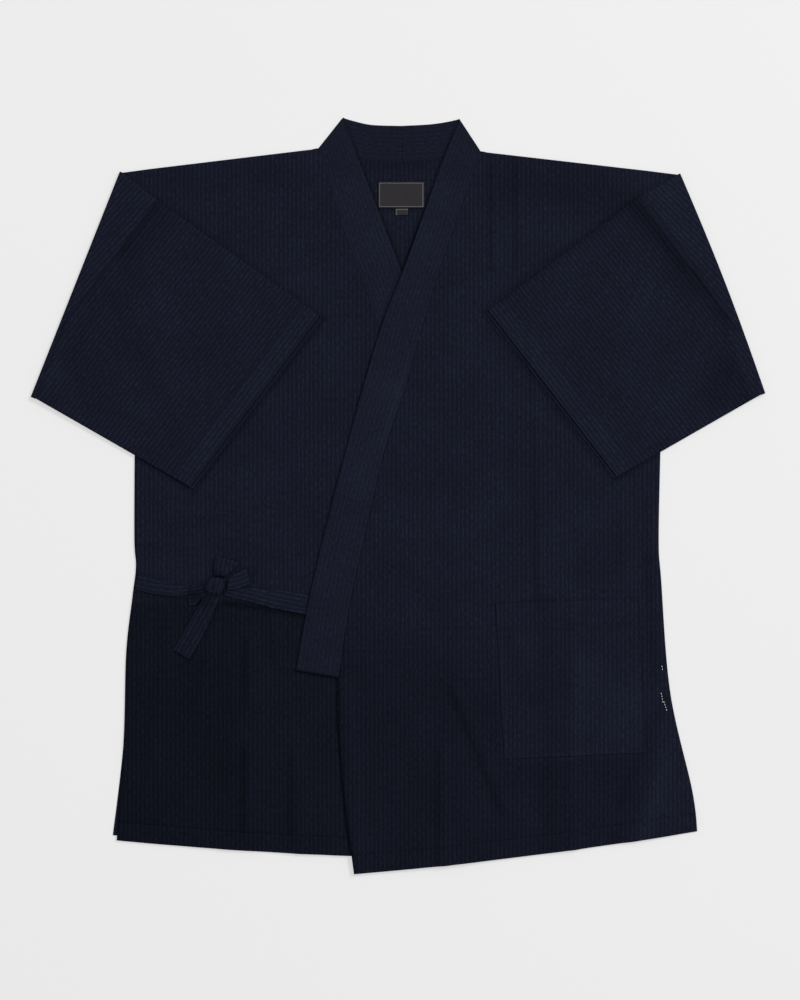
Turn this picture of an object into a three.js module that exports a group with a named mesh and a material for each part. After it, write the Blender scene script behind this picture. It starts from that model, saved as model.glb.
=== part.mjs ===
// A jinbei jacket laid flat on its back: the fronts cross, the sleeves are folded over them
// along a slanting line, and the side tie and the front tie are tied in a bow.
// Units are millimetres. +Z is up off the surface and +Y runs towards the neck.
// Left and right are the wearer's, so the left front lies at +X and on top.
// The origin is on the surface under the middle of the laid garment.

import * as THREE from "three";

// Cloth and seams
const WALL = 1.0;
const GAP = 0.3;
const SEAM = 0.4;
const COLLAR_WALL = 1.2;

// Heights of the layers, each given at its lower face
const FRONT_BASE = WALL + GAP;
const UNDER_COLLAR_BASE = COLLAR_WALL + GAP;
const OVERLAP_LIFT = 1.7;
const OVERLAP_MARGIN = 2;
const OVERLAP_RAMP = 80;
const FOLD_RISE = 3.2;
const SLEEVE_REST = FRONT_BASE + WALL + GAP;
const PATCH_BASE = FRONT_BASE + WALL + GAP;

// Grid of the panels
const ROWS_TO_UNDERARM = 9;
const ROWS_TO_HEM = 13;
const NECK_COLUMNS = 6;
const SHOULDER_COLUMNS = 4;
const FRONT_COLUMNS = 20;
const YOKE_COLUMNS = 2;
const FOLD_STEPS = 6;
const FLAP_COLUMNS = 2;
const FLAP_AT_FOOT = 3;

// Sleeves
const SLEEVE_RINGS = 9;
const SLEEVE_STATIONS = ROWS_TO_UNDERARM;
const EDGE_STEPS = 4;
const UNDER_CUFF_SHOWS = 5;
const SLEEVE_BILLOW = 1.4;
const SLEEVE_SETTLES = 0.7;

// Collar
const COLLAR_ROWS = 26;
const COLLAR_COLUMNS = 3;
const NECK_TURN_STEPS = 6;

const CENTRE_BACK = 3.5;
const BACK_HEM_MIDDLE = -424;
const HEM_SAG = 4;

const INDIGO = { color: 0x1a1c26, roughness: 0.92, metalness: 0 };
const INDIGO_LIGHT = { color: 0x1d1f2b, roughness: 0.92, metalness: 0 };
const LABEL_CLOTH = { color: 0x2d2b2f, roughness: 0.75, metalness: 0 };

// Each half of the garment, seen from above: places are x and y from the origin.
// The armhole seam runs over the folded sleeve from armholeTop to armholeTurn, which it
// reaches at the row turnRow, and then keeps just inside the fold down to its foot.
const RIGHT_HALF = {
  side: -1,
  shoulderTurn: [-292, 385],
  foldTop: [-328, 381.7],
  foldFoot: [-433, 116.2],
  foldBulge: 0,
  armholeTop: [-283.2, 347.5],
  armholeTurn: [-391.9, 202.4],
  turnRow: 6,
  cuffTop: [-92, 211.8],
  cuffFoot: [-245.4, 10],
  underarm: [-310.3, 84.4],
  backHemCorner: [-336.3, -400.6],
};
const LEFT_HALF = {
  side: 1,
  shoulderTurn: [292, 383],
  foldTop: [332.8, 379.4],
  foldFoot: [433, 120.5],
  foldBulge: 3,
  armholeTop: [285.6, 353.4],
  armholeTurn: [385, 234.3],
  turnRow: 5,
  cuffTop: [106.2, 218.9],
  cuffFoot: [258.4, 21.8],
  underarm: [310.3, 89.1],
  backHemCorner: [350.5, -393],
};

// The neckline of the back, from the middle out to the neck point, and the edge of the
// collar band above it. Columns: x, y at the seam, then x, y at the free edge.
const RIGHT_NECKLINE = [
  [3.5, 392.9, 3.5, 436],
  [-38.9, 395.9, -31.9, 437.2],
  [-68.4, 403, -54.3, 441.9],
  [-94.4, 408.9, -65.5, 445.2],
];
const LEFT_NECKLINE = [
  [3.5, 392.9, 3.5, 436],
  [53.1, 397.1, 37.8, 437.8],
  [75.5, 400.6, 59, 440.7],
  [97.9, 405.3, 72.7, 443.7],
];

// The front arms of the collar from the neck point down.
// Columns: x, y at the seam with the front, then x, y at the free edge.
const RIGHT_COLLAR = [
  [-94.4, 408.9, -65.5, 445.4],
  [-79.5, 363.1, -46, 394],
  [-67.5, 322.7, -26, 343],
  [-36.6, 237.8, 7, 256],
  [-14.2, 174, 31, 184],
  [22.9, 53.7, 69, 52],
  [46.6, -47.8, 94, -46],
  [65.3, -135.9, 113, -130],
  [77.1, -214.2, 126.8, -205.9],
];
const LEFT_COLLAR = [
  [97.9, 405.3, 72.7, 443.1],
  [78.2, 351, 49, 386],
  [49.8, 269, 15.1, 289.5],
  [21.2, 174, -19.5, 199.4],
  [8.3, 126.8, -40.4, 130.2],
  [-15.8, 53.7, -61.5, 53.7],
  [-39.5, -47.8, -87, -46],
  [-58.2, -135.9, -106.4, -130],
  [-70, -214.2, -120.4, -205.9],
];

// The front edges below the collar's end, down to the hem. Columns: x, y.
const RIGHT_FRONT_EDGE = [
  [72, -310],
  [58.4, -427.8],
];
const LEFT_FRONT_EDGE = [
  [-69.6, -271.4],
  [-63.2, -352.2],
  [-51.3, -446],
];

// Side seams and slits from the underarm to the hem. Columns: x, y.
const RIGHT_SIDE = [
  [-310.3, 84.4],
  [-310.9, -47.8],
  [-309, -83.2],
  [-313, -118.6],
  [-320.5, -185],
  [-323.5, -288.5],
  [-331.6, -406.5],
];
const LEFT_SIDE = [
  [310.3, 89.1],
  [307.4, -47.8],
  [310.3, -100],
  [321, -231.9],
  [346.9, -347.5],
  [352.8, -395.9],
];

// Where the covered edge of the right front lies: its x at each height y.
const COVERED_EDGE = [
  [445.4, -65.5],
  [272.8, 0.7],
  [199.4, 26.5],
  [130.2, 48.5],
  [5.5, 84],
  [-112.2, 111],
  [-205.9, 128],
  [-300, 110],
  [-446, 80],
];

// Broad soft creases of each front: from x, y to x, y, then rise and half width.
const RIGHT_CREASES = [
  [-178, -195, -194, -424, 1.0, 34],
  [-128, -300, -118, -420, 0.9, 32],
];
const LEFT_CREASES = [
  [190, -125, 200, -430, 1.0, 36],
  [325, -240, 290, -400, 1.6, 38],
  [150, 58, 172, -80, 0.9, 34],
  [85, -150, 70, -440, 0.8, 40],
];

// The pocket on the left front, corner by corner from its upper inner one.
const POCKET = [
  [115, -127.4],
  [282, -121.5],
  [291.5, -302.7],
  [125.1, -310.3],
];
const POCKET_CELLS = 9;

// Neck label and the small tab below it: x range and y range.
const LABEL = { left: -23.4, right: 31, low: 339, high: 369.9 };
const SIZE_TAB = { left: -3.5, right: 11.8, low: 330.4, high: 338.7 };

// Ties. Columns: x, y and z of the middle, width, and the heading of the width in degrees.
const TIE_WALL = 1.0;
const SIDE_TIE = [
  [-308.5, -101.2, 3.2, 19.5, 80],
  [-295, -105, 3.3, 17.5, 78],
  [-280.8, -108.8, 3.2, 14, 78],
  [-257.2, -112.6, 3.3, 8, 86],
  [-236.5, -108.6, 3.5, 6, 100],
];
const FRONT_TIE = [
  [-106.6, -128.4, 3.2, 24, 79],
  [-135, -123.5, 3.3, 23.4, 80],
  [-162.8, -118.8, 3.2, 22.4, 84],
  [-182, -118, 3.2, 14, 92],
  [-194.7, -119, 3.3, 8.5, 97],
  [-203.2, -117.2, 3.6, 6, 100],
];
const UPPER_LOOP = [
  [-209.6, -94.6, 3.7, 14, -6],
  [-205.5, -85, 3.3, 20, -12],
  [-201.6, -76.4, 3.2, 26, -17],
  [-200.9, -74.6, 4.4, 26.4, -17],
  [-201.6, -76.4, 5.6, 26, -17],
  [-205.5, -85, 5.8, 20, -12],
  [-209.6, -94.6, 5.9, 14, -6],
];
const SIDE_LOOP = [
  [-200.6, -105.4, 3.8, 13, 82],
  [-189, -100.4, 3.3, 17, 94],
  [-177.6, -95.6, 3.2, 19.2, 103],
  [-176, -95, 4.4, 19.4, 103],
  [-177.6, -95.6, 5.6, 19.2, 103],
  [-189, -100.4, 5.8, 17, 94],
  [-200.6, -105.4, 6.0, 13, 82],
];
const BOW_TAIL = [
  [-222.2, -114.4, 3.9, 12, -26],
  [-225, -128, 3.3, 16.5, -27],
  [-238.4, -156.3, 3.2, 20.5, -28],
  [-256.1, -187.6, 3.2, 20.5, -29],
];
const BOW_END = [
  [-234, -119.4, 3.6, 6, 108],
  [-240.5, -123.4, 3.4, 11.5, 106],
  [-247.5, -124, 3.2, 11, 100],
];
const LOOP_STEPS = 14;
const TIE_STEPS = 10;

// The knot: x, y of the middle of each section, width, height and heading of the width.
const KNOT = [
  [-231, -105.8, 6, 2.6, 68],
  [-226, -104.6, 13, 4.4, 68],
  [-216, -105.4, 20, 5.6, 72],
  [-207.6, -107, 20.4, 5.2, 75],
  [-204.4, -107.6, 16, 3.4, 76],
];
const KNOT_SIDES = 12;
const KNOT_SQUARENESS = 0.7;

const point = (pair) => new THREE.Vector2(pair[0], pair[1]);

// A smooth line through points, as a function from 0 at its start to 1 at its end.
function lineThrough(pairs) {
  const curve = new THREE.SplineCurve(pairs.map(point));
  return (t) => curve.getPointAt(THREE.MathUtils.clamp(t, 0, 1));
}

function straight(from, to) {
  return (t) => from.clone().lerp(to, t);
}

function part(line, start, end) {
  return (t) => line(THREE.MathUtils.lerp(start, end, t));
}

// How far along a falling line a height y is passed.
function passes(line, y) {
  let above = 0;
  let below = 1;
  for (let step = 0; step < 30; step += 1) {
    const middle = (above + below) / 2;
    if (line(middle).y > y) above = middle;
    else below = middle;
  }
  return above;
}

// A point of the patch between four edges: u runs from inner to outer, v from top to bottom.
function patch(edges, u, v) {
  const { top, bottom, inner, outer } = edges;
  const across = top(u).multiplyScalar(1 - v).add(bottom(u).multiplyScalar(v));
  const down = inner(v).multiplyScalar(1 - u).add(outer(v).multiplyScalar(u));
  const corners = top(0).multiplyScalar((1 - u) * (1 - v));
  corners.add(top(1).multiplyScalar(u * (1 - v)));
  corners.add(bottom(0).multiplyScalar((1 - u) * v));
  corners.add(bottom(1).multiplyScalar(u * v));
  return across.add(down).sub(corners);
}

// A value read from a table of [key, value] rows whose keys fall.
function readTable(rows, key) {
  const last = rows.length - 1;
  if (key >= rows[0][0]) return rows[0][1];
  for (let index = 0; index < last; index += 1) {
    const [upper, from] = rows[index];
    const [lower, to] = rows[index + 1];
    if (key >= lower) return THREE.MathUtils.lerp(from, to, (upper - key) / (upper - lower));
  }
  return rows[last][1];
}

// How far creases raise the cloth at a place.
function creaseRise(creases, place) {
  let rise = 0;
  for (const [fromX, fromY, toX, toY, height, halfWidth] of creases) {
    const from = new THREE.Vector2(fromX, fromY);
    const run = new THREE.Vector2(toX, toY).sub(from);
    const along = place.clone().sub(from).dot(run) / run.lengthSq();
    const nearest = from.addScaledVector(run, THREE.MathUtils.clamp(along, 0, 1));
    const offset = Math.min(nearest.distanceTo(place) / halfWidth, 1);
    rise += height * Math.cos((offset * Math.PI) / 2) ** 2;
  }
  return rise;
}

// How far the left front is lifted by the right front that it covers.
function overlapLift(place) {
  const clear = place.x - readTable(COVERED_EDGE, place.y);
  return OVERLAP_LIFT * (1 - THREE.MathUtils.smoothstep(clear, OVERLAP_MARGIN, OVERLAP_RAMP));
}

const backHeight = () => 0;
const rightFrontHeight = (place) => FRONT_BASE + creaseRise(RIGHT_CREASES, place);
const leftFrontHeight = (place) => {
  return FRONT_BASE + overlapLift(place) + creaseRise(LEFT_CREASES, place);
};

const raise = (place, z) => new THREE.Vector3(place.x, place.y, z);
const wallAt = (place, low, high) => ({ low: raise(place, low), high: raise(place, high) });

// Turns triangles so that they face out, and makes the named mesh.
function solid(name, finish, points, triangles) {
  let volume = 0;
  for (const [a, b, c] of triangles) {
    volume += points[a].dot(new THREE.Vector3().crossVectors(points[b], points[c]));
  }
  const facing = volume > 0 ? triangles : triangles.map(([a, b, c]) => [a, c, b]);
  const geometry = new THREE.BufferGeometry();
  geometry.setFromPoints(points);
  geometry.setIndex(facing.flat());
  geometry.computeVertexNormals();
  const mesh = new THREE.Mesh(geometry, new THREE.MeshStandardMaterial(finish));
  mesh.name = name;
  return mesh;
}

function addQuad(triangles, a, b, c, d) {
  triangles.push([a, b, c], [a, c, d]);
}

// A sheet from a grid of walls: a cell is cloth where all its four corners are.
function sheetSolid(name, finish, grid) {
  const points = [];
  const index = new Map();
  const key = (row, column) => `${row} ${column}`;
  grid.forEach((cells, row) => cells.forEach((cell, column) => {
    if (!cell) return;
    index.set(key(row, column), points.length);
    points.push(cell.low, cell.high);
  }));
  const corner = (row, column) => index.get(key(row, column));
  const isCloth = (row, column) => [[0, 0], [0, 1], [1, 1], [1, 0]].every(([down, over]) => {
    return index.has(key(row + down, column + over));
  });
  const triangles = [];
  const wall = (from, to) => addQuad(triangles, from, to, to + 1, from + 1);
  grid.forEach((cells, row) => cells.forEach((_, column) => {
    if (!isCloth(row, column)) return;
    const a = corner(row, column);
    const b = corner(row, column + 1);
    const c = corner(row + 1, column + 1);
    const d = corner(row + 1, column);
    addQuad(triangles, a, d, c, b);
    addQuad(triangles, a + 1, b + 1, c + 1, d + 1);
    if (!isCloth(row - 1, column)) wall(a, b);
    if (!isCloth(row, column + 1)) wall(b, c);
    if (!isCloth(row + 1, column)) wall(c, d);
    if (!isCloth(row, column - 1)) wall(d, a);
  }));
  return solid(name, finish, points, triangles);
}

// A solid through closed sections of equal count, with flat ends.
function loftSolid(name, finish, sections) {
  const count = sections[0].length;
  const points = sections.flat();
  const triangles = [];
  for (let section = 0; section < sections.length - 1; section += 1) {
    for (let side = 0; side < count; side += 1) {
      const here = section * count + side;
      const next = section * count + ((side + 1) % count);
      addQuad(triangles, here, here + count, next + count, next);
    }
  }
  const last = (sections.length - 1) * count;
  for (let side = 1; side < count - 1; side += 1) {
    triangles.push([0, side, side + 1], [last, last + side + 1, last + side]);
  }
  return solid(name, finish, points, triangles);
}

// An open tube through matching outer and inner loops.
function tubeSolid(name, finish, outer, inner) {
  const rings = outer.length;
  const count = outer[0].length;
  const points = [...outer.flat(), ...inner.flat()];
  const inside = rings * count;
  const triangles = [];
  for (let side = 0; side < count; side += 1) {
    const next = (side + 1) % count;
    for (let ring = 0; ring < rings - 1; ring += 1) {
      const a = ring * count;
      const b = a + count;
      addQuad(triangles, a + side, b + side, b + next, a + next);
      addQuad(triangles, inside + a + next, inside + b + next, inside + b + side, inside + a + side);
    }
    const end = (rings - 1) * count;
    addQuad(triangles, side, next, inside + next, inside + side);
    addQuad(triangles, end + next, end + side, inside + end + side, inside + end + next);
  }
  return solid(name, finish, points, triangles);
}

// The direction square to a line that points to the middle of the garment.
function inwardFrom(top, foot, side) {
  const run = foot.clone().sub(top).normalize();
  const inward = new THREE.Vector2(-run.y, run.x);
  return inward.x * side > 0 ? inward.negate() : inward;
}

// The slanting fold of one sleeve: its line, and the way back over the body.
function foldOf(half) {
  const top = point(half.foldTop);
  const foot = point(half.foldFoot);
  const inward = inwardFrom(top, foot, half.side);
  return {
    inward,
    line: (t) => straight(top, foot)(t)
      .addScaledVector(inward, FOLD_RISE - half.foldBulge * Math.sin(Math.PI * t)),
  };
}

// The armhole seam on the folded side, from the shoulder (0) to the foot of the fold (1).
function armholeSeam(half) {
  const fold = foldOf(half);
  const top = point(half.armholeTop);
  const turn = point(half.armholeTurn);
  const foot = fold.line(1).addScaledVector(fold.inward, FLAP_AT_FOOT);
  const turnShare = half.turnRow / ROWS_TO_UNDERARM;
  return (t) => {
    if (t < turnShare) return straight(top, turn)(t / turnShare);
    return straight(turn, foot)((t - turnShare) / (1 - turnShare));
  };
}

// The walls of one row that turn round the fold and lie back on the body as far as the seam.
function foldedRow(half, t, low) {
  const fold = foldOf(half);
  const crest = fold.line(t);
  const high = low + WALL;
  const walls = [];
  for (let step = 1; step <= FOLD_STEPS; step += 1) {
    const angle = (Math.PI * step) / FOLD_STEPS;
    const turned = (z) => {
      const reach = -(FOLD_RISE - z) * Math.sin(angle);
      const place = crest.clone().addScaledVector(fold.inward, reach);
      return raise(place, FOLD_RISE - (FOLD_RISE - z) * Math.cos(angle));
    };
    walls.push({ low: turned(low), high: turned(high) });
  }
  const seam = armholeSeam(half)(t);
  for (let column = 1; column <= FLAP_COLUMNS; column += 1) {
    const place = crest.clone().lerp(seam, column / FLAP_COLUMNS);
    walls.push(wallAt(place, 2 * FOLD_RISE - low, 2 * FOLD_RISE - high));
  }
  return walls;
}

// The grid of one half of a body panel: rows run down, columns run out from the inner edge.
function panelHalf(half, inner, outer, topEdge, height, columns) {
  const innerShare = passes(inner, half.underarm[1]);
  const shoulderTurn = point(half.shoulderTurn);
  const underarm = point(half.underarm);
  const underarmRow = straight(inner(innerShare), underarm);
  const hem = straight(inner(1), outer(1));
  const upper = {
    top: topEdge,
    bottom: underarmRow,
    inner: part(inner, 0, innerShare),
    outer: straight(shoulderTurn, underarm),
  };
  const lower = {
    top: underarmRow,
    bottom: (u) => hem(u).add(new THREE.Vector2(0, -HEM_SAG * 4 * u * (1 - u))),
    inner: part(inner, innerShare, 1),
    outer,
  };
  const fold = foldOf(half);
  const grid = [];
  for (let row = 0; row <= ROWS_TO_UNDERARM + ROWS_TO_HEM; row += 1) {
    const isUpper = row <= ROWS_TO_UNDERARM;
    const v = isUpper ? row / ROWS_TO_UNDERARM : (row - ROWS_TO_UNDERARM) / ROWS_TO_HEM;
    const cells = [];
    for (let column = 0; column <= columns; column += 1) {
      const place = patch(isUpper ? upper : lower, column / columns, v);
      const low = height(place);
      cells.push(wallAt(place, low, low + WALL));
    }
    if (isUpper) {
      const from = upper.outer(v);
      const low = height(fold.line(v));
      for (let column = 1; column <= YOKE_COLUMNS; column += 1) {
        cells.push(wallAt(from.clone().lerp(fold.line(v), column / YOKE_COLUMNS), low, low + WALL));
      }
      cells.push(...foldedRow(half, v, low));
    } else {
      const empty = YOKE_COLUMNS + FOLD_STEPS + FLAP_COLUMNS;
      cells.push(...new Array(empty).fill(null));
    }
    grid.push(cells);
  }
  return grid;
}

const seamSide = (rows) => rows.map(([x, y]) => [x, y]);
const freeSide = (rows) => rows.map(([, , x, y]) => [x, y]);

// The back's upper edge of one half: the neckline first, then the shoulder.
const BACK_COLUMNS = NECK_COLUMNS + SHOULDER_COLUMNS;
const NECK_SHARE = NECK_COLUMNS / BACK_COLUMNS;
function backTopEdge(half, neckline) {
  const neck = lineThrough(seamSide(neckline));
  const shoulder = straight(neck(1), point(half.shoulderTurn));
  return (u) => {
    const place = u < NECK_SHARE ? neck(u / NECK_SHARE) : shoulder((u - NECK_SHARE) / (1 - NECK_SHARE));
    return place.add(new THREE.Vector2(0, -SEAM));
  };
}

function makeBack() {
  const halfGrid = (half, neckline, sideRows) => {
    const topEdge = backTopEdge(half, neckline);
    const hemMiddle = new THREE.Vector2(CENTRE_BACK, BACK_HEM_MIDDLE);
    const side = lineThrough([...sideRows.slice(0, -1), half.backHemCorner]);
    return panelHalf(half, straight(topEdge(0), hemMiddle), side, topEdge, backHeight, BACK_COLUMNS);
  };
  const right = halfGrid(RIGHT_HALF, RIGHT_NECKLINE, RIGHT_SIDE);
  const left = halfGrid(LEFT_HALF, LEFT_NECKLINE, LEFT_SIDE);
  const grid = right.map((cells, row) => [...cells.slice(1).reverse(), ...left[row]]);
  return sheetSolid("back", INDIGO, grid);
}

// A front's inner edge: beside the collar seam as far as the collar's end, then to the hem.
const COLLAR_SHARE = 0.73;
function frontInnerEdge(half, collarRows, edgeRows) {
  const seam = lineThrough(seamSide(collarRows));
  const below = lineThrough([seamSide(collarRows).at(-1), ...edgeRows]);
  return (t) => {
    const beside = t < COLLAR_SHARE;
    const place = beside ? seam(t / COLLAR_SHARE) : below((t - COLLAR_SHARE) / (1 - COLLAR_SHARE));
    return place.add(new THREE.Vector2(half.side * SEAM, 0));
  };
}

function makeFront(name, half, collarRows, edgeRows, sideRows, height) {
  const inner = frontInnerEdge(half, collarRows, edgeRows);
  const topEdge = straight(inner(0), point(half.shoulderTurn));
  const grid = panelHalf(half, inner, lineThrough(sideRows), topEdge, height, FRONT_COLUMNS);
  return sheetSolid(name, INDIGO, grid);
}

// One half of the collar: from the middle of the neck, round the neck turn, down the front.
function makeCollar(name, half, neckline, arm, lift) {
  const grid = [];
  const row = (seam, free, wall) => {
    const cells = [];
    for (let column = 0; column <= COLLAR_COLUMNS; column += 1) {
      cells.push(wall(seam.clone().lerp(free, column / COLLAR_COLUMNS)));
    }
    grid.push(cells);
  };
  const neckSeam = lineThrough(seamSide(neckline));
  const neckFree = lineThrough(freeSide(neckline));
  const rise = (COLLAR_WALL + UNDER_COLLAR_BASE) / 2;
  const turnFoot = neckSeam(1);
  const turnTop = neckFree(1);
  const inward = inwardFrom(turnTop, turnFoot, half.side);
  const turnInset = new THREE.Vector2(rise / inward.x, 0);
  const apart = new THREE.Vector2((half.side * GAP) / 2, 0);
  for (let index = 0; index < NECK_COLUMNS; index += 1) {
    const t = index / NECK_COLUMNS;
    const shift = apart.clone().multiplyScalar(1 - t).add(turnInset.clone().multiplyScalar(t));
    row(neckSeam(t).add(shift), neckFree(t).add(shift), (place) => wallAt(place, 0, COLLAR_WALL));
  }
  for (let step = 0; step <= NECK_TURN_STEPS; step += 1) {
    const angle = (Math.PI * step) / NECK_TURN_STEPS;
    const turned = (place, z) => {
      const reach = -(rise - z) * Math.sin(angle);
      return raise(place.clone().addScaledVector(inward, reach), rise - (rise - z) * Math.cos(angle));
    };
    row(turnFoot.clone().add(turnInset), turnTop.clone().add(turnInset), (place) => {
      return { low: turned(place, 0), high: turned(place, COLLAR_WALL) };
    });
  }
  const armSeam = lineThrough(seamSide(arm));
  const armFree = lineThrough(freeSide(arm));
  for (let index = 1; index <= COLLAR_ROWS; index += 1) {
    const t = index / COLLAR_ROWS;
    row(armSeam(t), armFree(t), (place) => {
      const low = UNDER_COLLAR_BASE + lift(place);
      return wallAt(place, low + COLLAR_WALL, low);
    });
  }
  return sheetSolid(name, INDIGO_LIGHT, grid);
}

// The loop of a flattened tube, from its top edge (0) to its foot (1) along the under wall
// and back along the upper one: the share v and the angle round the edge.
function tubeStations(margin) {
  const inset = (index) => THREE.MathUtils.clamp(index / SLEEVE_STATIONS, margin, 1 - margin);
  const quarter = Math.PI / 2;
  const stations = [];
  for (let index = 0; index <= SLEEVE_STATIONS; index += 1) stations.push([inset(index), -quarter]);
  for (let step = 1; step < EDGE_STEPS; step += 1) {
    stations.push([1 - margin, (Math.PI * step) / EDGE_STEPS - quarter]);
  }
  for (let index = SLEEVE_STATIONS; index >= 0; index -= 1) stations.push([inset(index), quarter]);
  for (let step = 1; step < EDGE_STEPS; step += 1) {
    stations.push([margin, (Math.PI * step) / EDGE_STEPS + quarter]);
  }
  return stations;
}

// A sleeve lying folded over the front: a flattened tube from the armhole seam to the cuff.
function makeSleeve(name, half) {
  const seam = armholeSeam(half);
  const cuff = straight(point(half.cuffTop), point(half.cuffFoot));
  const outward = cuff(0.5).sub(seam(0.5)).normalize();
  const place = (u, v) => seam(v).addScaledVector(outward, SEAM).lerp(cuff(v), u);
  const outerRadius = WALL + GAP / 2;
  const innerRadius = GAP / 2;
  const stations = tubeStations(outerRadius / cuff(0).distanceTo(cuff(1)));
  const seamBase = 2 * FOLD_RISE - FRONT_BASE - WALL;
  const outer = [];
  const inner = [];
  for (let ring = 0; ring <= SLEEVE_RINGS; ring += 1) {
    const u = ring / SLEEVE_RINGS;
    const down = THREE.MathUtils.smoothstep(u, 0, SLEEVE_SETTLES);
    const base = THREE.MathUtils.lerp(seamBase, SLEEVE_REST, down);
    const edgeWay = place(u, 1).sub(place(u, 0)).normalize();
    const loop = (radius) => stations.map(([v, angle]) => {
      const upperShare = (1 + Math.sin(angle)) / 2;
      const centre = place(u, v)
        .addScaledVector(outward, UNDER_CUFF_SHOWS * (1 - upperShare) * u)
        .addScaledVector(edgeWay, radius * Math.cos(angle));
      const billow = SLEEVE_BILLOW * upperShare * Math.sin(Math.PI * u) * Math.sin(Math.PI * v);
      return raise(centre, base + outerRadius + radius * Math.sin(angle) + billow);
    });
    outer.push(loop(outerRadius));
    inner.push(loop(innerRadius));
  }
  return tubeSolid(name, INDIGO, outer, inner);
}

// A flat rectangle of cloth between four corners, following a height.
function makePatch(name, finish, corners, cells, height, thickness) {
  const [a, b, c, d] = corners.map(point);
  const grid = [];
  for (let row = 0; row <= cells; row += 1) {
    const left = a.clone().lerp(d, row / cells);
    const right = b.clone().lerp(c, row / cells);
    const walls = [];
    for (let column = 0; column <= cells; column += 1) {
      const place = left.clone().lerp(right, column / cells);
      const low = height(place);
      walls.push(wallAt(place, low, low + thickness));
    }
    grid.push(walls);
  }
  return sheetSolid(name, finish, grid);
}

function makeLabel(name, box) {
  const corners = [
    [box.left, box.high],
    [box.right, box.high],
    [box.right, box.low],
    [box.left, box.low],
  ];
  return makePatch(name, LABEL_CLOTH, corners, 1, () => FRONT_BASE, WALL);
}

// A ribbon through a table of places: its section is a flat strip, slightly crowned.
function makeRibbon(name, rows, steps) {
  const centres = new THREE.CatmullRomCurve3(rows.map(([x, y, z]) => new THREE.Vector3(x, y, z)));
  const last = rows.length - 1;
  const sections = [];
  for (let step = 0; step <= steps; step += 1) {
    const t = step / steps;
    const index = Math.min(Math.floor(t * last), last - 1);
    const share = t * last - index;
    const between = (column) => THREE.MathUtils.lerp(rows[index][column], rows[index + 1][column], share);
    const width = between(3);
    const heading = THREE.MathUtils.degToRad(between(4));
    const across = new THREE.Vector3(Math.cos(heading), Math.sin(heading), 0);
    const tangent = centres.getTangent(t);
    const up = new THREE.Vector3().crossVectors(tangent, across).normalize();
    const centre = centres.getPoint(t);
    const corner = (side, lift) => centre.clone()
      .addScaledVector(across, (side * width) / 2)
      .addScaledVector(up, (lift * TIE_WALL) / 2);
    const under = [corner(-1, -1), corner(0, -1), corner(1, -1)];
    const over = [corner(1, 1), corner(0, 1), corner(-1, 1)];
    sections.push([...under, ...over]);
  }
  return loftSolid(name, INDIGO_LIGHT, sections);
}

// The knot's wrap: rounded sections that stand on the right front.
function makeKnot(name) {
  const sections = KNOT.map(([x, y, width, height, heading]) => {
    const turn = THREE.MathUtils.degToRad(heading);
    const across = new THREE.Vector3(Math.cos(turn), Math.sin(turn), 0);
    const section = [];
    for (let side = 0; side < KNOT_SIDES; side += 1) {
      const angle = (2 * Math.PI * side) / KNOT_SIDES;
      const sweep = Math.sign(Math.cos(angle)) * Math.abs(Math.cos(angle)) ** KNOT_SQUARENESS;
      const place = new THREE.Vector3(x, y, SLEEVE_REST + (height / 2) * (1 + Math.sin(angle)));
      section.push(place.addScaledVector(across, (sweep * width) / 2));
    }
    return section;
  });
  return loftSolid(name, INDIGO_LIGHT, sections);
}

const flatCollar = () => 0;
const pocketHeight = (place) => PATCH_BASE - FRONT_BASE + leftFrontHeight(place);

const jinbei = new THREE.Group();
jinbei.add(
  makeBack(),
  makeFront("right_front", RIGHT_HALF, RIGHT_COLLAR, RIGHT_FRONT_EDGE, RIGHT_SIDE, rightFrontHeight),
  makeFront("left_front", LEFT_HALF, LEFT_COLLAR, LEFT_FRONT_EDGE, LEFT_SIDE, leftFrontHeight),
  makeSleeve("right_sleeve", RIGHT_HALF),
  makeSleeve("left_sleeve", LEFT_HALF),
  makeCollar("right_collar", RIGHT_HALF, RIGHT_NECKLINE, RIGHT_COLLAR, flatCollar),
  makeCollar("left_collar", LEFT_HALF, LEFT_NECKLINE, LEFT_COLLAR, overlapLift),
  makePatch("pocket", INDIGO, POCKET, POCKET_CELLS, pocketHeight, WALL),
  makeLabel("neck_label", LABEL),
  makeLabel("size_tab", SIZE_TAB),
  makeRibbon("side_tie", SIDE_TIE, TIE_STEPS),
  makeRibbon("front_tie", FRONT_TIE, TIE_STEPS),
  makeKnot("bow_knot"),
  makeRibbon("bow_upper_loop", UPPER_LOOP, LOOP_STEPS),
  makeRibbon("bow_side_loop", SIDE_LOOP, LOOP_STEPS),
  makeRibbon("bow_tail", BOW_TAIL, TIE_STEPS),
  makeRibbon("bow_end", BOW_END, TIE_STEPS),
);

export default jinbei;
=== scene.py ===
# %% [markdown]
# # A jinbei jacket laid flat
#
# A jinbei is a light summer jacket of ribbed cotton. It lies on its back, the wearer's left
# front crosses over the right one, the sleeves are folded over the fronts, and a pair of ties
# holds the overlap in a bow. We dress the imported CAD model, which already has each cut piece as
# a rigid wall, with cloth that is thin, uneven and woven.
#
# Every cut piece is a grid of faces that is bent to its place. The alternative, dropping flat
# cloth in a simulation, would lose the pressed folds and the exact outline, so the folds are
# placed one by one and the cloth gets its thickness last.

import math

import bmesh
import bpy
import numpy as np
from mathutils import Matrix, Vector


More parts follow.
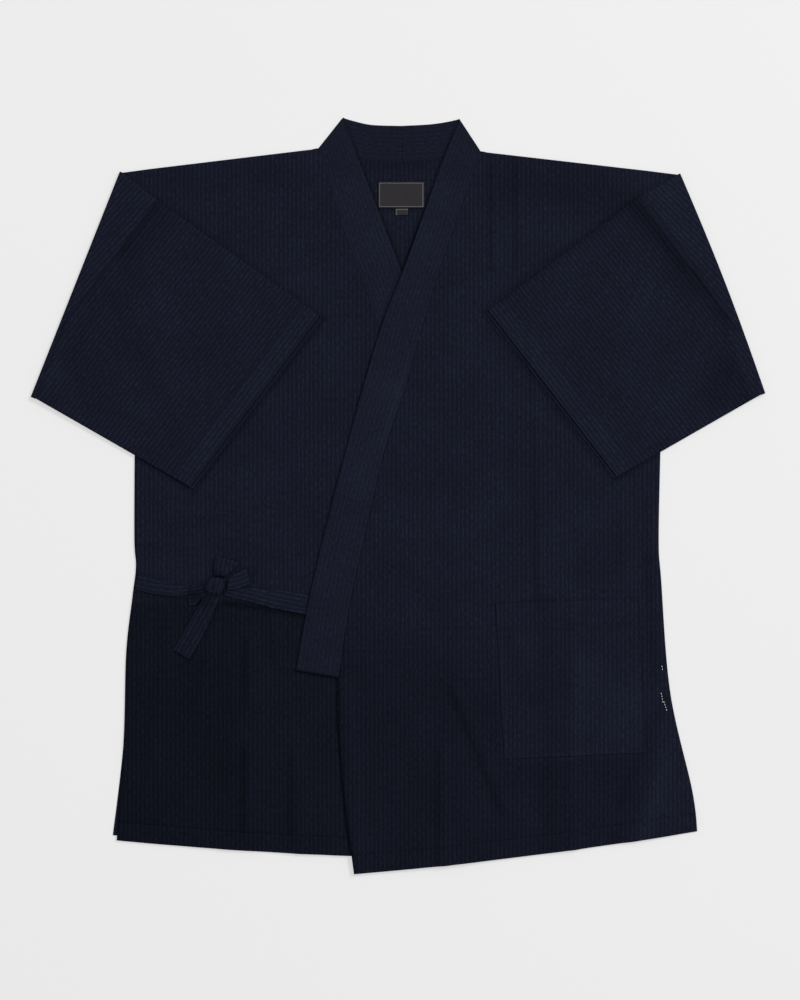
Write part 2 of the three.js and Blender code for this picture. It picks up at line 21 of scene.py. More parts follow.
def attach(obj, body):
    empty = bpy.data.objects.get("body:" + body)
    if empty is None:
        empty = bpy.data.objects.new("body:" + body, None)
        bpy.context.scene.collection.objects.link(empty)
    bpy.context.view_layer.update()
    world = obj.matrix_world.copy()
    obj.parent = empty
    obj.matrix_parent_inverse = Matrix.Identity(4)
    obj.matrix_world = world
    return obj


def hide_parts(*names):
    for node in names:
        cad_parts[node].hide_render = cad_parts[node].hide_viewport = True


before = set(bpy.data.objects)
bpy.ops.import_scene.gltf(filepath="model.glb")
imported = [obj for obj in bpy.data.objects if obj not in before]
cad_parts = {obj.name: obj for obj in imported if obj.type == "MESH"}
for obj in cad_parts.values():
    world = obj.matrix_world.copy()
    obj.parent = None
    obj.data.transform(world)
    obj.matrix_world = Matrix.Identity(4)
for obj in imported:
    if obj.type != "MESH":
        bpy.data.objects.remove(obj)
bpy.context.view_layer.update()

# %% [markdown]
# ## The camera
#
# The jacket is seen from straight above. One pixel of the 800 by 1000 picture is 1.18 mm of
# cloth, and the lens follows from that and from the height of the camera. A flat, orthographic
# view would do as well, but a real lens shows a little of the thickness at the edges.

# %% Camera
# Cloth is measured in millimetres, as on a pattern sheet, and MM turns them into metres.
MM = 0.001
PIXEL = 1.18
PICTURE_HEIGHT = 1000
PICTURE_CENTRE = (2.36, -5.31)
# The camera's height is in metres, and the width of its sensor in millimetres.
CAMERA_HEIGHT = 2.4
SENSOR = 36.0

lens = bpy.data.cameras.new("overhead_camera")
lens.sensor_width = SENSOR
lens.lens = SENSOR * CAMERA_HEIGHT / (PICTURE_HEIGHT * PIXEL * MM)
camera = bpy.data.objects.new("overhead_camera", lens)
camera.location = (PICTURE_CENTRE[0] * MM, PICTURE_CENTRE[1] * MM, CAMERA_HEIGHT)
bpy.context.scene.collection.objects.link(camera)
bpy.context.scene.camera = camera
bpy.context.scene.view_settings.view_transform = "Standard"
print("lens in mm:", round(lens.lens, 1))

# %% [markdown]
# ## Helpers for materials
#
# A material could be clicked together in the shader editor. Here every node is written down, so
# that the finish can be read and made again. One function adds a node, links it and sets it.

# %% Helpers for materials
def linear(colour):
    """An sRGB hex colour as the linear values that Blender's shaders work in."""
    channels = [int(colour[at : at + 2], 16) / 255 for at in (1, 3, 5)]
    channels = [c / 12.92 if c <= 0.04045 else ((c + 0.055) / 1.055) ** 2.4 for c in channels]
    return (*channels, 1.0)


def add(tree, kind, inputs=None, **settings):
    """Adds one node. Each input is another node's output to link, or a plain value to set."""
    node = tree.nodes.new(kind)
    for name, value in settings.items():
        setattr(node, name, value)
    for socket, value in (inputs or {}).items():
        if isinstance(value, bpy.types.NodeSocket):
            tree.links.new(value, node.inputs[socket])
        else:
            node.inputs[socket].default_value = value
    return node


def new_material(name):
    """A new material, and its tree with no node in it yet."""
    material = bpy.data.materials.new(name)
    material.use_nodes = True
    material.node_tree.nodes.clear()
    return material, material.node_tree


# %% [markdown]
# ## The floor
#
# The ground is even and pale, and the shadow on it is faint. Lamps alone could make it that
# bright, but they would light the jacket as well, so the floor glows a little by itself.

# %% Floor
FLOOR_HALF = 6.0
FLOOR_DROP = 0.3 * MM
FLOOR_GREY = "#969696"
FLOOR_GLOW = 0.52

# A matt panel lit from behind: no gloss at all, and white light from within.
floor_paint, tree = new_material("matt_backlit_panel")
looks = {
    "Base Color": linear(FLOOR_GREY),
    "Roughness": 1.0,
    "Specular IOR Level": 0.0,
    "Emission Color": (1, 1, 1, 1),
    "Emission Strength": FLOOR_GLOW,
}
panel = add(tree, "ShaderNodeBsdfPrincipled", looks)
add(tree, "ShaderNodeOutputMaterial", {"Surface": panel.outputs["BSDF"]})

shape = bmesh.new()
bmesh.ops.create_grid(shape, x_segments=1, y_segments=1, size=FLOOR_HALF)
bmesh.ops.translate(shape, verts=shape.verts, vec=(0, 0, -FLOOR_DROP))
floor_mesh = bpy.data.meshes.new("floor")
shape.to_mesh(floor_mesh)
shape.free()
floor_mesh.materials.append(floor_paint)
floor = bpy.data.objects.new("floor", floor_mesh)
bpy.context.scene.collection.objects.link(floor)
print("floor: half its width in metres", FLOOR_HALF, "and its glow", FLOOR_GLOW)

# %% [markdown]
# ## The light
#
# Plain soft studio light: an even white sky, a large lamp beyond the upper right that gives the
# folds their direction, and a weaker one on the other side. Small lamps would draw sharp shadow
# edges, which matt cloth under studio light doesn't have.

# %% Light
# Powers are in watts, sizes and places in metres.
WORLD_STRENGTH = 0.5
KEY_POWER = 245.0
KEY_SIZE = 1.8
KEY_PLACE = (3.4, 2.6, 4.6)
FILL_POWER = 38.0
FILL_SIZE = 3.0
FILL_PLACE = (-1.5, 1.0, 5.0)

world = bpy.data.worlds.new("studio")
world.use_nodes = True
air = world.node_tree
air.nodes.clear()
sky = add(air, "ShaderNodeBackground", {"Color": (1, 1, 1, 1), "Strength": WORLD_STRENGTH})
add(air, "ShaderNodeOutputWorld", {"Surface": sky.outputs["Background"]})
bpy.context.scene.world = world


def soft_box(name, place, size, power):
    """A square light that faces the middle of the jacket."""
    light = bpy.data.lights.new(name, "AREA")
    light.size = size
    light.energy = power
    lamp = bpy.data.objects.new(name, light)
    lamp.location = place
    lamp.rotation_euler = (-Vector(place)).to_track_quat("-Z", "Y").to_euler()
    bpy.context.scene.collection.objects.link(lamp)


soft_box("key_light", KEY_PLACE, KEY_SIZE, KEY_POWER)
soft_box("fill_light", FILL_PLACE, FILL_SIZE, FILL_POWER)

# %% [markdown]
# ## The cloth
#
# The real cloth is indigo cotton in a ribbed weave: every 5.1 mm a smooth stripe lies beside a
# stripe that crinkles. A picture of cloth could be laid on the pieces, but it would stretch at
# the folds and show its repeats. Waves and noise don't, and they follow each piece's own UV map
# named cloth, in metres: x across the stripes and y along them. The threads themselves, at
# 0.3 mm, are too fine to show from here, so the crinkles are drawn 1.3 mm wide and 5.5 mm long.

# %% Spots on the cloth
# Columns: size across and along the stripes in mm, detail, and roughness of the detail.
RIB_WANDER = (6.0, 45.0, 2.0, 0.5)
CRINKLES = (1.3, 5.5, 3.0, 0.65)
DYE_CLOUDS = (70.0, 70.0, 5.0, 0.62)


def spots(tree, cloth, across, along, detail, roughness):
    """Noise that follows the cloth, stretched to a size across and along its stripes."""
    scale = (1 / (across * MM), 1 / (along * MM), 1)
    spread = add(tree, "ShaderNodeMapping", {"Vector": cloth, "Scale": scale}).outputs["Vector"]
    looks = {"Vector": spread, "Scale": 1.0, "Detail": detail, "Roughness": roughness}
    return add(tree, "ShaderNodeTexNoise", looks).outputs["Fac"]


# %% Ribbed cotton
# The ribs: pitch in mm, how far they wander as an angle of their wave, and their height in mm.
RIB = 5.1
RIB_WANDERS = 3.0
RIB_BUMP = 0.35
RIB_STRENGTH = 0.8
DYE_SPREAD = 0.1
# Cotton has hardly any gloss: the ends of its fibres scatter the light.
COTTON_ROUGHNESS = 0.8
COTTON_GLOSS = 0.03
# Where the wave, the crinkles and the clouds turn from their low tone to their high one.
STRIPE_TURNS = {"From Min": -0.7, "From Max": 0.95}
CRINKLE_TURNS = {"From Min": 0.22, "From Max": 0.78}
CLOUD_TURNS = {"From Min": 0.25, "From Max": 0.75}


def ribbed_cotton(name, smooth_stripe, crinkled_stripe, rib_shows):
    """Indigo cotton: hex colours of its two kinds of stripe, and how clearly the ribs show."""
    material, tree = new_material(name)
    cloth = add(tree, "ShaderNodeUVMap", uv_map="cloth").outputs["UV"]

    # The ribs are a wave across the cloth that wanders a little, as woven ribs do.
    across = add(tree, "ShaderNodeSeparateXYZ", {"Vector": cloth}).outputs["X"]
    pitch = {0: across, 1: 2 * math.pi / (RIB * MM)}
    turns = add(tree, "ShaderNodeMath", pitch, operation="MULTIPLY").outputs[0]
    wander = {0: spots(tree, cloth, *RIB_WANDER), 1: RIB_WANDERS, 2: turns}
    wandering = add(tree, "ShaderNodeMath", wander, operation="MULTIPLY_ADD").outputs[0]
    wave = add(tree, "ShaderNodeMath", {0: wandering}, operation="SINE").outputs[0]
    ribs = {"Value": wave, **STRIPE_TURNS, "To Min": 1 - rib_shows, "To Max": 1.0}
    stripe = add(tree, "ShaderNodeMapRange", ribs, interpolation_type="SMOOTHSTEP").outputs["Result"]

    # Crinkles fill one stripe of the two. The stripes are the weave's own pattern, and the
    # crinkles' lighter tone is painted highlight, where they catch more light than the smooth one.
    fine = {"Value": spots(tree, cloth, *CRINKLES), **CRINKLE_TURNS, "To Min": 0.0, "To Max": 1.0}
    crinkle = add(tree, "ShaderNodeMapRange", fine, interpolation_type="SMOOTHSTEP").outputs["Result"]
    crumpled = add(tree, "ShaderNodeMath", {0: crinkle, 1: stripe}, operation="MULTIPLY").outputs[0]
    tones = {"Factor": crumpled, "A": linear(smooth_stripe), "B": linear(crinkled_stripe)}
    stripes_with_crinkle_highlight = add(tree, "ShaderNodeMix", tones, data_type="RGBA").outputs["Result"]

    # The dye took unevenly, and the painted shade and light on each corner make the cloth
    # darker or lighter from place to place.
    wide = {"Value": spots(tree, cloth, *DYE_CLOUDS), **CLOUD_TURNS}
    wide |= {"To Min": 1 - DYE_SPREAD, "To Max": 1 + DYE_SPREAD}
    cloud = add(tree, "ShaderNodeMapRange", wide, interpolation_type="SMOOTHSTEP").outputs["Result"]
    nap = add(tree, "ShaderNodeAttribute", attribute_name="nap").outputs["Fac"]
    painted_shading_factor = add(tree, "ShaderNodeMath", {0: nap, 1: 1.0}, operation="ADD").outputs[0]
    shade = add(tree, "ShaderNodeMath", {0: cloud, 1: painted_shading_factor}, operation="MULTIPLY").outputs[0]
    colour = add(tree, "ShaderNodeVectorMath", {0: stripes_with_crinkle_highlight, "Scale": shade}, operation="SCALE")

    rise = {"Height": crumpled, "Strength": RIB_STRENGTH, "Distance": RIB_BUMP * MM}
    looks = {
        "Base Color": colour.outputs["Vector"],
        "Normal": add(tree, "ShaderNodeBump", rise).outputs["Normal"],
        "Roughness": COTTON_ROUGHNESS,
        "Specular IOR Level": COTTON_GLOSS,
    }
    skin = add(tree, "ShaderNodeBsdfPrincipled", looks)
    add(tree, "ShaderNodeOutputMaterial", {"Surface": skin.outputs["BSDF"]})
    return material


# Woven cotton in one layer: matt and nearly black blue, its stripes clear when close.
indigo_cotton = ribbed_cotton("indigo_ribbed_cotton", "#0d111a", "#1f2232", rib_shows=0.62)
# The same cotton, doubled and pressed for the collar: the ribs are flatter, so it looks smoother.
band_cotton = ribbed_cotton("pressed_doubled_cotton", "#10131d", "#1e2131", rib_shows=0.4)
# The same cotton, folded narrow for the ties: the ribs stand up, so it looks the most striped.
tie_cotton = ribbed_cotton("folded_tie_cotton", "#0e121b", "#202436", rib_shows=0.7)
print("cloth materials:", indigo_cotton.name, band_cotton.name, tie_cotton.name)

# %% [markdown]
# ## The lines that the pieces share
#
# Each half of the jacket has a slanting fold where the sleeve turns over, an armhole seam on the
# folded side, an underarm corner and a cuff. Each piece could have its own outline, but sewn
# edges would then part. So the seams are written down once, as places on the pattern, and every
# piece that meets at a seam reads it. The same tables shape the CAD walls.

# %% Layers
# Thickness of the walls, the cloth and the collar bands.
WALL = 1.0
CLOTH = 0.8
BAND_WALL = 1.2
# The gap between two layers, and how far the shoulder is drawn in.
GAP = 0.3
SEAM = 0.4
BACK_MIDDLE = WALL / 2
FRONT_MIDDLE = WALL + GAP + WALL / 2
# The left front is lifted where it lies on the right one, and comes down past the covered edge.
OVERLAP_LIFT = 1.7
OVERLAP_MARGIN = 2
OVERLAP_RAMP = 80
print("middle of the back and of the fronts in mm:", BACK_MIDDLE, FRONT_MIDDLE)

# %% The two halves
# Height of the middle of a sleeve fold, how far its seam stands off at the foot, and the rows
# that the place of the seam's turn is counted in.
FOLD_RISE = 3.2
FLAP_AT_FOOT = 3
PANEL_ROWS = 9
# The middle line of the back, its hem there, and how far a hem sags between its ends.
CENTRE_BACK = 3.5
BACK_HEM_MIDDLE = -424
HEM_SAG = 4

# Side is -1 at the wearer's right and 1 at the left, and the bulge is how far a fold bows out.
RIGHT_HALF = {
    "side": -1,
    "shoulder_turn": (-292, 385),
    "fold_top": (-328, 381.7),
    "fold_foot": (-433, 116.2),
    "fold_bulge": 0,
    "armhole_top": (-283.2, 347.5),
    "armhole_turn": (-391.9, 202.4),
    "turn_row": 6,
    "cuff_top": (-92, 211.8),
    "cuff_foot": (-245.4, 10),
    "underarm": (-310.3, 84.4),
    "back_hem_corner": (-336.3, -400.6),
}
LEFT_HALF = {
    "side": 1,
    "shoulder_turn": (292, 383),
    "fold_top": (332.8, 379.4),
    "fold_foot": (433, 120.5),
    "fold_bulge": 3,
    "armhole_top": (285.6, 353.4),
    "armhole_turn": (396, 206),
    "turn_row": 6,
    "cuff_top": (106.2, 218.9),
    "cuff_foot": (258.4, 21.8),
    "underarm": (310.3, 89.1),
    "back_hem_corner": (350.5, -393),
}

# %% Neckline and collar
# Neckline of the back and the band's free edge above it: x, y at the seam, x, y at the edge.
RIGHT_NECKLINE = [
    (3.5, 392.9, 3.5, 436),
    (-38.9, 395.9, -31.9, 437.2),
    (-68.4, 403, -54.3, 441.9),
    (-94.4, 408.9, -65.5, 445.2),
]
LEFT_NECKLINE = [
    (3.5, 392.9, 3.5, 436),
    (53.1, 397.1, 37.8, 437.8),
    (75.5, 400.6, 59, 440.7),
    (97.9, 405.3, 72.7, 443.7),
]

# Front arms of the collar from the neck point down: x, y at the seam, x, y at the free edge.
RIGHT_COLLAR = [
    (-94.4, 408.9, -65.5, 445.4),
    (-79.5, 363.1, -46, 394),
    (-67.5, 322.7, -26, 343),
    (-36.6, 237.8, 7, 256),
    (-14.2, 174, 31, 184),
    (22.9, 53.7, 69, 52),
    (46.6, -47.8, 94, -46),
    (65.3, -135.9, 113, -130),
    (77.1, -214.2, 126.8, -205.9),
]
LEFT_COLLAR = [
    (97.9, 405.3, 72.7, 443.1),
    (78.2, 351, 49, 386),
    (49.8, 269, 15.1, 289.5),
    (21.2, 174, -19.5, 199.4),
    (8.3, 126.8, -40.4, 130.2),
    (-15.8, 53.7, -61.5, 53.7),
    (-39.5, -47.8, -87, -46),
    (-58.2, -135.9, -106.4, -130),
    (-70, -214.2, -120.4, -205.9),
]

# %% Front edges and sides
RIGHT_FRONT_EDGE = [(72, -310), (58.4, -427.8)]
LEFT_FRONT_EDGE = [(-69.6, -271.4), (-63.2, -352.2), (-51.3, -446)]
RIGHT_SIDE = [
    (-310.3, 84.4),
    (-310.9, -47.8),
    (-309, -83.2),
    (-313, -118.6),
    (-320.5, -185),
    (-323.5, -288.5),
    (-331.6, -406.5),
]
LEFT_SIDE = [
    (310.3, 89.1),
    (307.4, -47.8),
    (310.3, -100),
    (321, -231.9),
    (346.9, -347.5),
    (352.8, -395.9),
]

# Where the covered edge of the right front lies: its x at each height y.
COVERED_EDGE = [
    (445.4, -65.5),
    (272.8, 0.7),
    (199.4, 26.5),
    (130.2, 48.5),
    (5.5, 84),
    (-112.2, 111),
    (-205.9, 128),
    (-300, 110),
    (-446, 80),
]
print("places along the collar and the sides:", len(LEFT_COLLAR), len(LEFT_SIDE))

# %% [markdown]
# ## From places to lines
#
# A maker joins marked places with a bendy ruler, and this cell does the same: a cubic curve
# passes through every place. Straight seams are plain lines. Each line is a function from 0 at
# its start to 1 at its end, so a grid of cloth can be laid between any four of them.

# %% Lines as functions
LINE_STEPS = 60
PASS_STEPS = 2001


def smoothstep(value, low, high):
    """0 below low, 1 above high, and a smooth turn between them."""
    share = np.clip((value - low) / (high - low), 0, 1)
    return share * share * (3 - 2 * share)


def smooth_line(rows):
    """A smooth line through places, as a function from 0 at its start to 1 at its end."""
    knots = np.array(rows, float)
    last = len(knots) - 1
    samples = []
    for step in range(LINE_STEPS * last + 1):
        index = min(step // LINE_STEPS, last - 1)
        t = step / LINE_STEPS - index
        before, here = knots[max(index - 1, 0)], knots[index]
        after, beyond = knots[index + 1], knots[min(index + 2, last)]
        leave, arrive = (after - before) / 2, (beyond - here) / 2
        cubic = 2 * here - 2 * after + leave + arrive
        square = 3 * after - 3 * here - 2 * leave - arrive
        samples.append(cubic * t**3 + square * t**2 + leave * t + here)
    samples = np.array(samples)
    reach = np.concatenate([[0], np.cumsum(np.linalg.norm(np.diff(samples, axis=0), axis=1))])

    def place(t):
        at = np.clip(np.asarray(t, float), 0, 1) * reach[-1]
        return np.stack([np.interp(at, reach, samples[:, axis]) for axis in range(samples.shape[1])], -1)

    return place


def straight(start, end):
    """A straight line from start to end."""
    start, end = np.array(start, float), np.array(end, float)
    return lambda t: start + np.asarray(t, float)[..., None] * (end - start)


def part(line, start, end):
    """The stretch of a line between two shares of it."""
    return lambda t: line(start + (end - start) * np.asarray(t, float))


def passes(line, height):
    """How far along a falling line a height is passed."""
    shares = np.linspace(1, 0, PASS_STEPS)
    return float(np.interp(height, line(shares)[:, 1], shares))


def patch(top, bottom, inner, outer):
    """A smooth surface between four edges: u runs from inner to outer, v from top to bottom."""
    corners = [top(0.0), top(1.0), bottom(0.0), bottom(1.0)]

    def place(u, v):
        a, b = u[..., None], v[..., None]
        across = top(u) * (1 - b) + bottom(u) * b
        down = inner(v) * (1 - a) + outer(v) * a
        upper = corners[0] * (1 - a) + corners[1] * a
        lower = corners[2] * (1 - a) + corners[3] * a
        return across + down - upper * (1 - b) - lower * b

    return place


print("share of the left side above the pocket:", round(passes(smooth_line(LEFT_SIDE), -127), 3))

# %% [markdown]
# ## The sleeve fold and the armhole seam
#
# The shoulder slopes, so a sleeve that lies flat has to be turned over along a slanting line.
# Its armhole seam then lies on the folded side: straight from the shoulder, a turn, and straight
# again down to the foot of the fold. Two short functions give both to every piece beside them.

# %% The sleeve fold and the armhole seam
def inward_of(top, foot, side):
    """The way across a line from top to foot, towards the middle of the jacket."""
    run = (foot - top) / np.linalg.norm(foot - top)
    inward = np.array([-run[1], run[0]])
    return -inward if inward[0] * side > 0 else inward


def fold_of(half):
    """The slanting fold of one sleeve: its line, and the way back over the body."""
    top, foot = np.array(half["fold_top"], float), np.array(half["fold_foot"], float)
    inward = inward_of(top, foot, half["side"])
    along = straight(top, foot)

    def line(t):
        t = np.asarray(t, float)
        return along(t) + (FOLD_RISE - half["fold_bulge"] * np.sin(np.pi * t))[..., None] * inward

    return line, inward


def armhole_seam(half):
    """The armhole seam on the folded side, from the shoulder (0) to the foot of the fold (1)."""
    line, inward = fold_of(half)
    foot = line(1.0) + FLAP_AT_FOOT * inward
    turn = half["turn_row"] / PANEL_ROWS
    to_turn = straight(half["armhole_top"], half["armhole_turn"])
    to_foot = straight(half["armhole_turn"], foot)

    def seam(t):
        t = np.asarray(t, float)
        first = to_turn(np.clip(t / turn, 0, 1))
        second = to_foot(np.clip((t - turn) / (1 - turn), 0, 1))
        return np.where((t < turn)[..., None], first, second)

    return seam


print("armhole seam at its middle:", armhole_seam(LEFT_HALF)(0.5).round(1))

# %% [markdown]
# ## The folds in the cloth
#
# The jacket was pressed, folded and laid out, so it has long press folds, gathers where the ties
# pull, and soft unevenness all over. A cloth simulation would put its own folds in other places,
# so these are written down where they lie: each is a ridge with a start, an end, a height and
# half a width. Ridges only rise, so that no layer sinks into the one below it.

# %% Fold tables
# Columns: from x, y to x, y, then rise and half width.
RIGHT_FRONT_FOLDS = [
    (-178, -195, -194, -424, 1.8, 34),
    (-128, -300, -118, -420, 1.4, 32),
    (-174, -160, -174, -248, 1.6, 11),
    (-175, -292, -178, -408, 1.8, 12),
    (-119, -300, -116, -414, 1.5, 12),
    (-294, -28, -228, -20, 1.3, 8),
    (-282, -60, -192, -76, 1.2, 9),
    (-250, 10, -180, -10, 0.9, 9),
    (-212, -128, -236, -250, 1.3, 12),
    (-270, -150, -292, -330, 1.6, 16),
    (-150, -128, -140, -200, 1.2, 10),
    (-232, 60, -250, -60, 1.0, 22),
    (-100, 60, -140, -60, 1.0, 24),
]
LEFT_FRONT_FOLDS = [
    (190, -125, 200, -430, 1.6, 36),
    (325, -240, 290, -400, 2.2, 38),
    (150, 58, 172, -80, 1.4, 34),
    (85, -150, 70, -440, 1.2, 40),
    (157, 200, 168, -122, 1.3, 8),
    (206, -122, 208, -430, 1.8, 10),
    (54, -298, 55, -432, 1.8, 11),
    (68, -226, 129, -370, 1.6, 11),
    (330, -238, 276, -400, 2.2, 15),
    (113, 396, 113, 270, 1.2, 7),
    (143, 393, 143, 272, 1.2, 8),
    (20, -60, 0, -220, 1.0, 22),
    (262, 20, 270, -110, 1.2, 14),
]
print("folds on the right and left front:", len(RIGHT_FRONT_FOLDS), len(LEFT_FRONT_FOLDS))

# %% [markdown]
# ## Painted shade and light
#
# Each place gets a number of painted shading: painted shade below the ties, in troughs and in
# the crevices beside layers, where shadow falls, and painted light on ridges and pressed
# strips, where light catches. Lamps alone give too little of this on such dark cloth.

# %% Shade tables
# Columns: from x, y to x, y, then change of the painted shading and half width.
SHADES = [
    (-180, -170, -181, -241, -0.14, 8),
    (-181, -300, -182, -395, -0.16, 8),
    (-127, -312, -127, -395, -0.14, 8),
    (46, -300, 46, -430, -0.16, 7),
    (61, -229, 120, -371, -0.18, 7),
    (160, 195, 163, -123, -0.1, 7),
    (175, -132, 180, -428, -0.13, 24),
    (195, -123, 198, -428, -0.09, 6),
    (312, -240, 262, -365, -0.14, 13),
    (258, -385, 254, -412, -0.1, 13),
    (340, -240, 290, -400, 0.16, 16),
    (291, -5, 293, -76, -0.12, 10),
    (294, -76, 302, -222, -0.18, 11),
    (109, 408, 109, 266, -0.14, 6),
    (138, 400, 138, 270, -0.14, 6),
    (130, 375, 262, 345, -0.19, 50),
    (-272, 362, -150, 384, -0.1, 30),
    (125, -165, 157, -240, -0.12, 18),
    (232, -178, 258, -194, -0.1, 6),
    (-56, -222, -38, -440, 0.1, 12),
    (-291, -60, -180, -66, -0.08, 8),
    (-268, -36, -220, -30, -0.08, 7),
    (114, -130, 124, -308, 0.22, 5),
    (127, -311, 290, -304, 0.22, 5),
]

# Painted shadow: the narrow dark line beside a layer that presses on the cloth, with the same columns.
CREVICES = [
    (-283, 349, -90, 213, -0.14, 6),
    (-87, 209, -241, 6, -0.42, 6),
    (-245, 8, -312, 46, -0.3, 5),
    (285, 355, 105, 221, -0.18, 7),
    (101, 216, 253, 18, -0.25, 8),
    (258, 20, 312, 50, -0.3, 5),
    (-19.5, 199, -62, 54, -0.02, 5),
    (-62, 54, -87, -46, -0.02, 5),
    (-87, -46, -107, -131, -0.02, 5),
    (-107, -131, -121, -207, -0.02, 5),
    (-120, -208, -70, -216, -0.25, 4),
    (-70, -216, -64, -352, -0.12, 7),
    (-64, -352, -52, -440, -0.12, 7),
    (113, -126, 283, -120, -0.1, 3),
    (113, -126, 123, -312, -0.04, 4),
    (124, -312, 292, -304, -0.02, 4),
    (-312, -114, -260, -121, -0.3, 6),
    (-260, -121, -236, -116, -0.3, 6),
    (-205, -126, -165, -132, -0.34, 6),
    (-165, -132, -107, -142, -0.34, 6),
    (-214, -126, -247, -195, -0.28, 5),
    (-243, -117, -228, -131, -0.35, 9),
    (-188, -74, -207, -98, -0.25, 5),
    (-168, -90, -176, -108, -0.25, 4),
]
print("shades and crevices:", len(SHADES), len(CREVICES))


# %% Ridges and hills
def over_lines(rows, x, y, combine=np.add):
    """Soft ridges along lines, added up: full in the middle and nothing at half the width."""
    total = np.zeros_like(x)
    for from_x, from_y, to_x, to_y, height, half_width in rows:
        run_x, run_y = to_x - from_x, to_y - from_y
        along = ((x - from_x) * run_x + (y - from_y) * run_y) / (run_x**2 + run_y**2)
        share = np.clip(along, 0, 1)
        offset = np.hypot(x - from_x - share * run_x, y - from_y - share * run_y)
        total = combine(total, height * np.cos(np.clip(offset / half_width, 0, 1) * np.pi / 2) ** 2)
    return total


WAVES = 9
WAVE_SPREAD = (0.7, 1.5)


def unevenness(x, y, wavelength, seed):
    """Soft hills from 0 to 1: a sum of long waves in directions that the seed fixes."""
    chance = np.random.default_rng(seed)
    total = np.zeros_like(x)
    for _ in range(WAVES):
        heading, phase = chance.uniform(0, 2 * np.pi, 2)
        length = wavelength * chance.uniform(*WAVE_SPREAD)
        total += np.sin(2 * np.pi * (x * np.cos(heading) + y * np.sin(heading)) / length + phase)
    return np.clip(0.5 + total / WAVES, 0, 1)


def hills(rows, x, y):
    """Hills added up, from rows of height, wavelength and seed."""
    return sum(height * unevenness(x, y, wavelength, seed) for height, wavelength, seed in rows)


def bell(value, middle, width):
    """1 at its middle, falling softly to nothing about twice its width away."""
    return np.exp(-(((value - middle) / width) ** 2))


# %% [markdown]
# ## How high each layer lies
#
# The layers could be dropped on one another in a simulation, but cloth this thin would pass
# through itself. Here each layer's height is worked out from the one below it: the left front
# rises over the covered part of the right one, and takes on its folds.

# %% Heights of the layers
# Half the width of the jacket at each height y, and the height of the shoulder at each half width.
OUTER_X = [(400, 325), (382, 328), (116, 433), (86, 310), (-100, 309), (-232, 321), (-400, 350)]
SHOULDER_Y = [(330, 380), (292, 384), (96, 407), (66, 444), (0, 444)]
CALM_FROM = 3
CALM_TO = 34
# Columns: height, wavelength and seed.
RIGHT_FRONT_HILLS = [(1.5, 120, 3), (0.5, 38, 4)]
LEFT_FRONT_HILLS = [(1.5, 130, 5), (0.5, 40, 6)]


def table_at(rows, keys):
    """Values from a table of key and value whose keys fall."""
    rows = np.array(rows[::-1], float)
    return np.interp(keys, rows[:, 0], rows[:, 1])


def calm(x, y):
    """0 at the pressed sides and shoulders, where the layers are sewn, and 1 well inside."""
    aside = smoothstep(table_at(OUTER_X, y) - np.abs(x), CALM_FROM, CALM_TO)
    return aside * smoothstep(table_at(SHOULDER_Y, np.abs(x)) - y, CALM_FROM, CALM_TO)


def covers(x, y):
    """1 where the left front lies on the right one, falling to 0 beyond the covered edge."""
    return 1 - smoothstep(x - table_at(COVERED_EDGE, y), OVERLAP_MARGIN, OVERLAP_RAMP)


def back_rise(x, y):
    """The back lies flat on the floor."""
    return np.zeros_like(x)


def right_front_rise(x, y):
    """The right front lies on the back, with its own hills and folds."""
    return (hills(RIGHT_FRONT_HILLS, x, y) + over_lines(RIGHT_FRONT_FOLDS, x, y)) * calm(x, y)


def left_own_rise(x, y):
    """What the left front adds to what it lies on."""
    return (hills(LEFT_FRONT_HILLS, x, y) + over_lines(LEFT_FRONT_FOLDS, x, y)) * calm(x, y)


def left_front_rise(x, y):
    """The left front takes on the covered front's folds and adds its own."""
    return covers(x, y) * (OVERLAP_LIFT + right_front_rise(x, y)) + left_own_rise(x, y)


def left_front_height(x, y):
    """The middle of the left front's cloth."""
    return FRONT_MIDDLE + left_front_rise(x, y)


def right_front_height(x, y):
    """The middle of the right front's cloth."""
    return FRONT_MIDDLE + right_front_rise(x, y)


rise_at_pocket = left_front_rise(np.array([200.0]), np.array([-200.0]))
print("rise of the left front at the pocket in mm:", rise_at_pocket.round(2))

# %% [markdown]
# ## The painted shading of each piece
#
# Every piece carries one number per corner of painted shade and light, which the cotton's colour
# reads. It could be painted by hand in Blender, but written as a function it stays exact when a
# grid changes. Below the ties the front gets painted shade, by an amount that is read from a table.

# %% Painted shading of the fronts
# Painted shading below the ties at each x, from the wearer's left to the right.
LOW_PAINTED_SHADE = [
    (352, 0.05),
    (300, 0.03),
    (262, -0.15),
    (180, -0.14),
    (110, -0.2),
    (0, -0.26),
    (-100, -0.3),
    (-150, -0.32),
    (-200, -0.42),
    (-300, -0.4),
]
# How far down the change sets in: sharply under the front tie and slowly on the left front.
OVER_EDGE_X = -62
SHARP_CHANGE = (112, 132)
SLOW_CHANGE = (110, 250)


def front_nap(x, y, u, v):
    """Painted shade below the ties, in crevices and in troughs, and painted light along ridges."""
    sharp, slow = smoothstep(-y, *SHARP_CHANGE), smoothstep(-y, *SLOW_CHANGE)
    below = np.where(x < OVER_EDGE_X, sharp, slow) * table_at(LOW_PAINTED_SHADE, x)
    return below + over_lines(SHADES, x, y) + over_lines(CREVICES, x, y, np.minimum)


# %% Painted shading of the back, the strips and the hems
# Painted shadow lines on the back beside the free edges of the two collars, with the same columns as
# above.
BACK_CREVICES = [
    (-65, 440, -46, 394, -0.4, 6),
    (-46, 394, -26, 343, -0.4, 6),
    (-26, 343, 9, 254, -0.4, 6),
    (72, 440, 49, 386, -0.4, 7),
    (49, 386, 15, 289.5, -0.4, 7),
    (15, 289.5, 0, 250, -0.4, 7),
    (-60, 392, 60, 392, -0.18, 16),
    (-26, 370, 33, 371, -0.25, 4),
    (-25, 338, 32, 338, -0.25, 4),
]


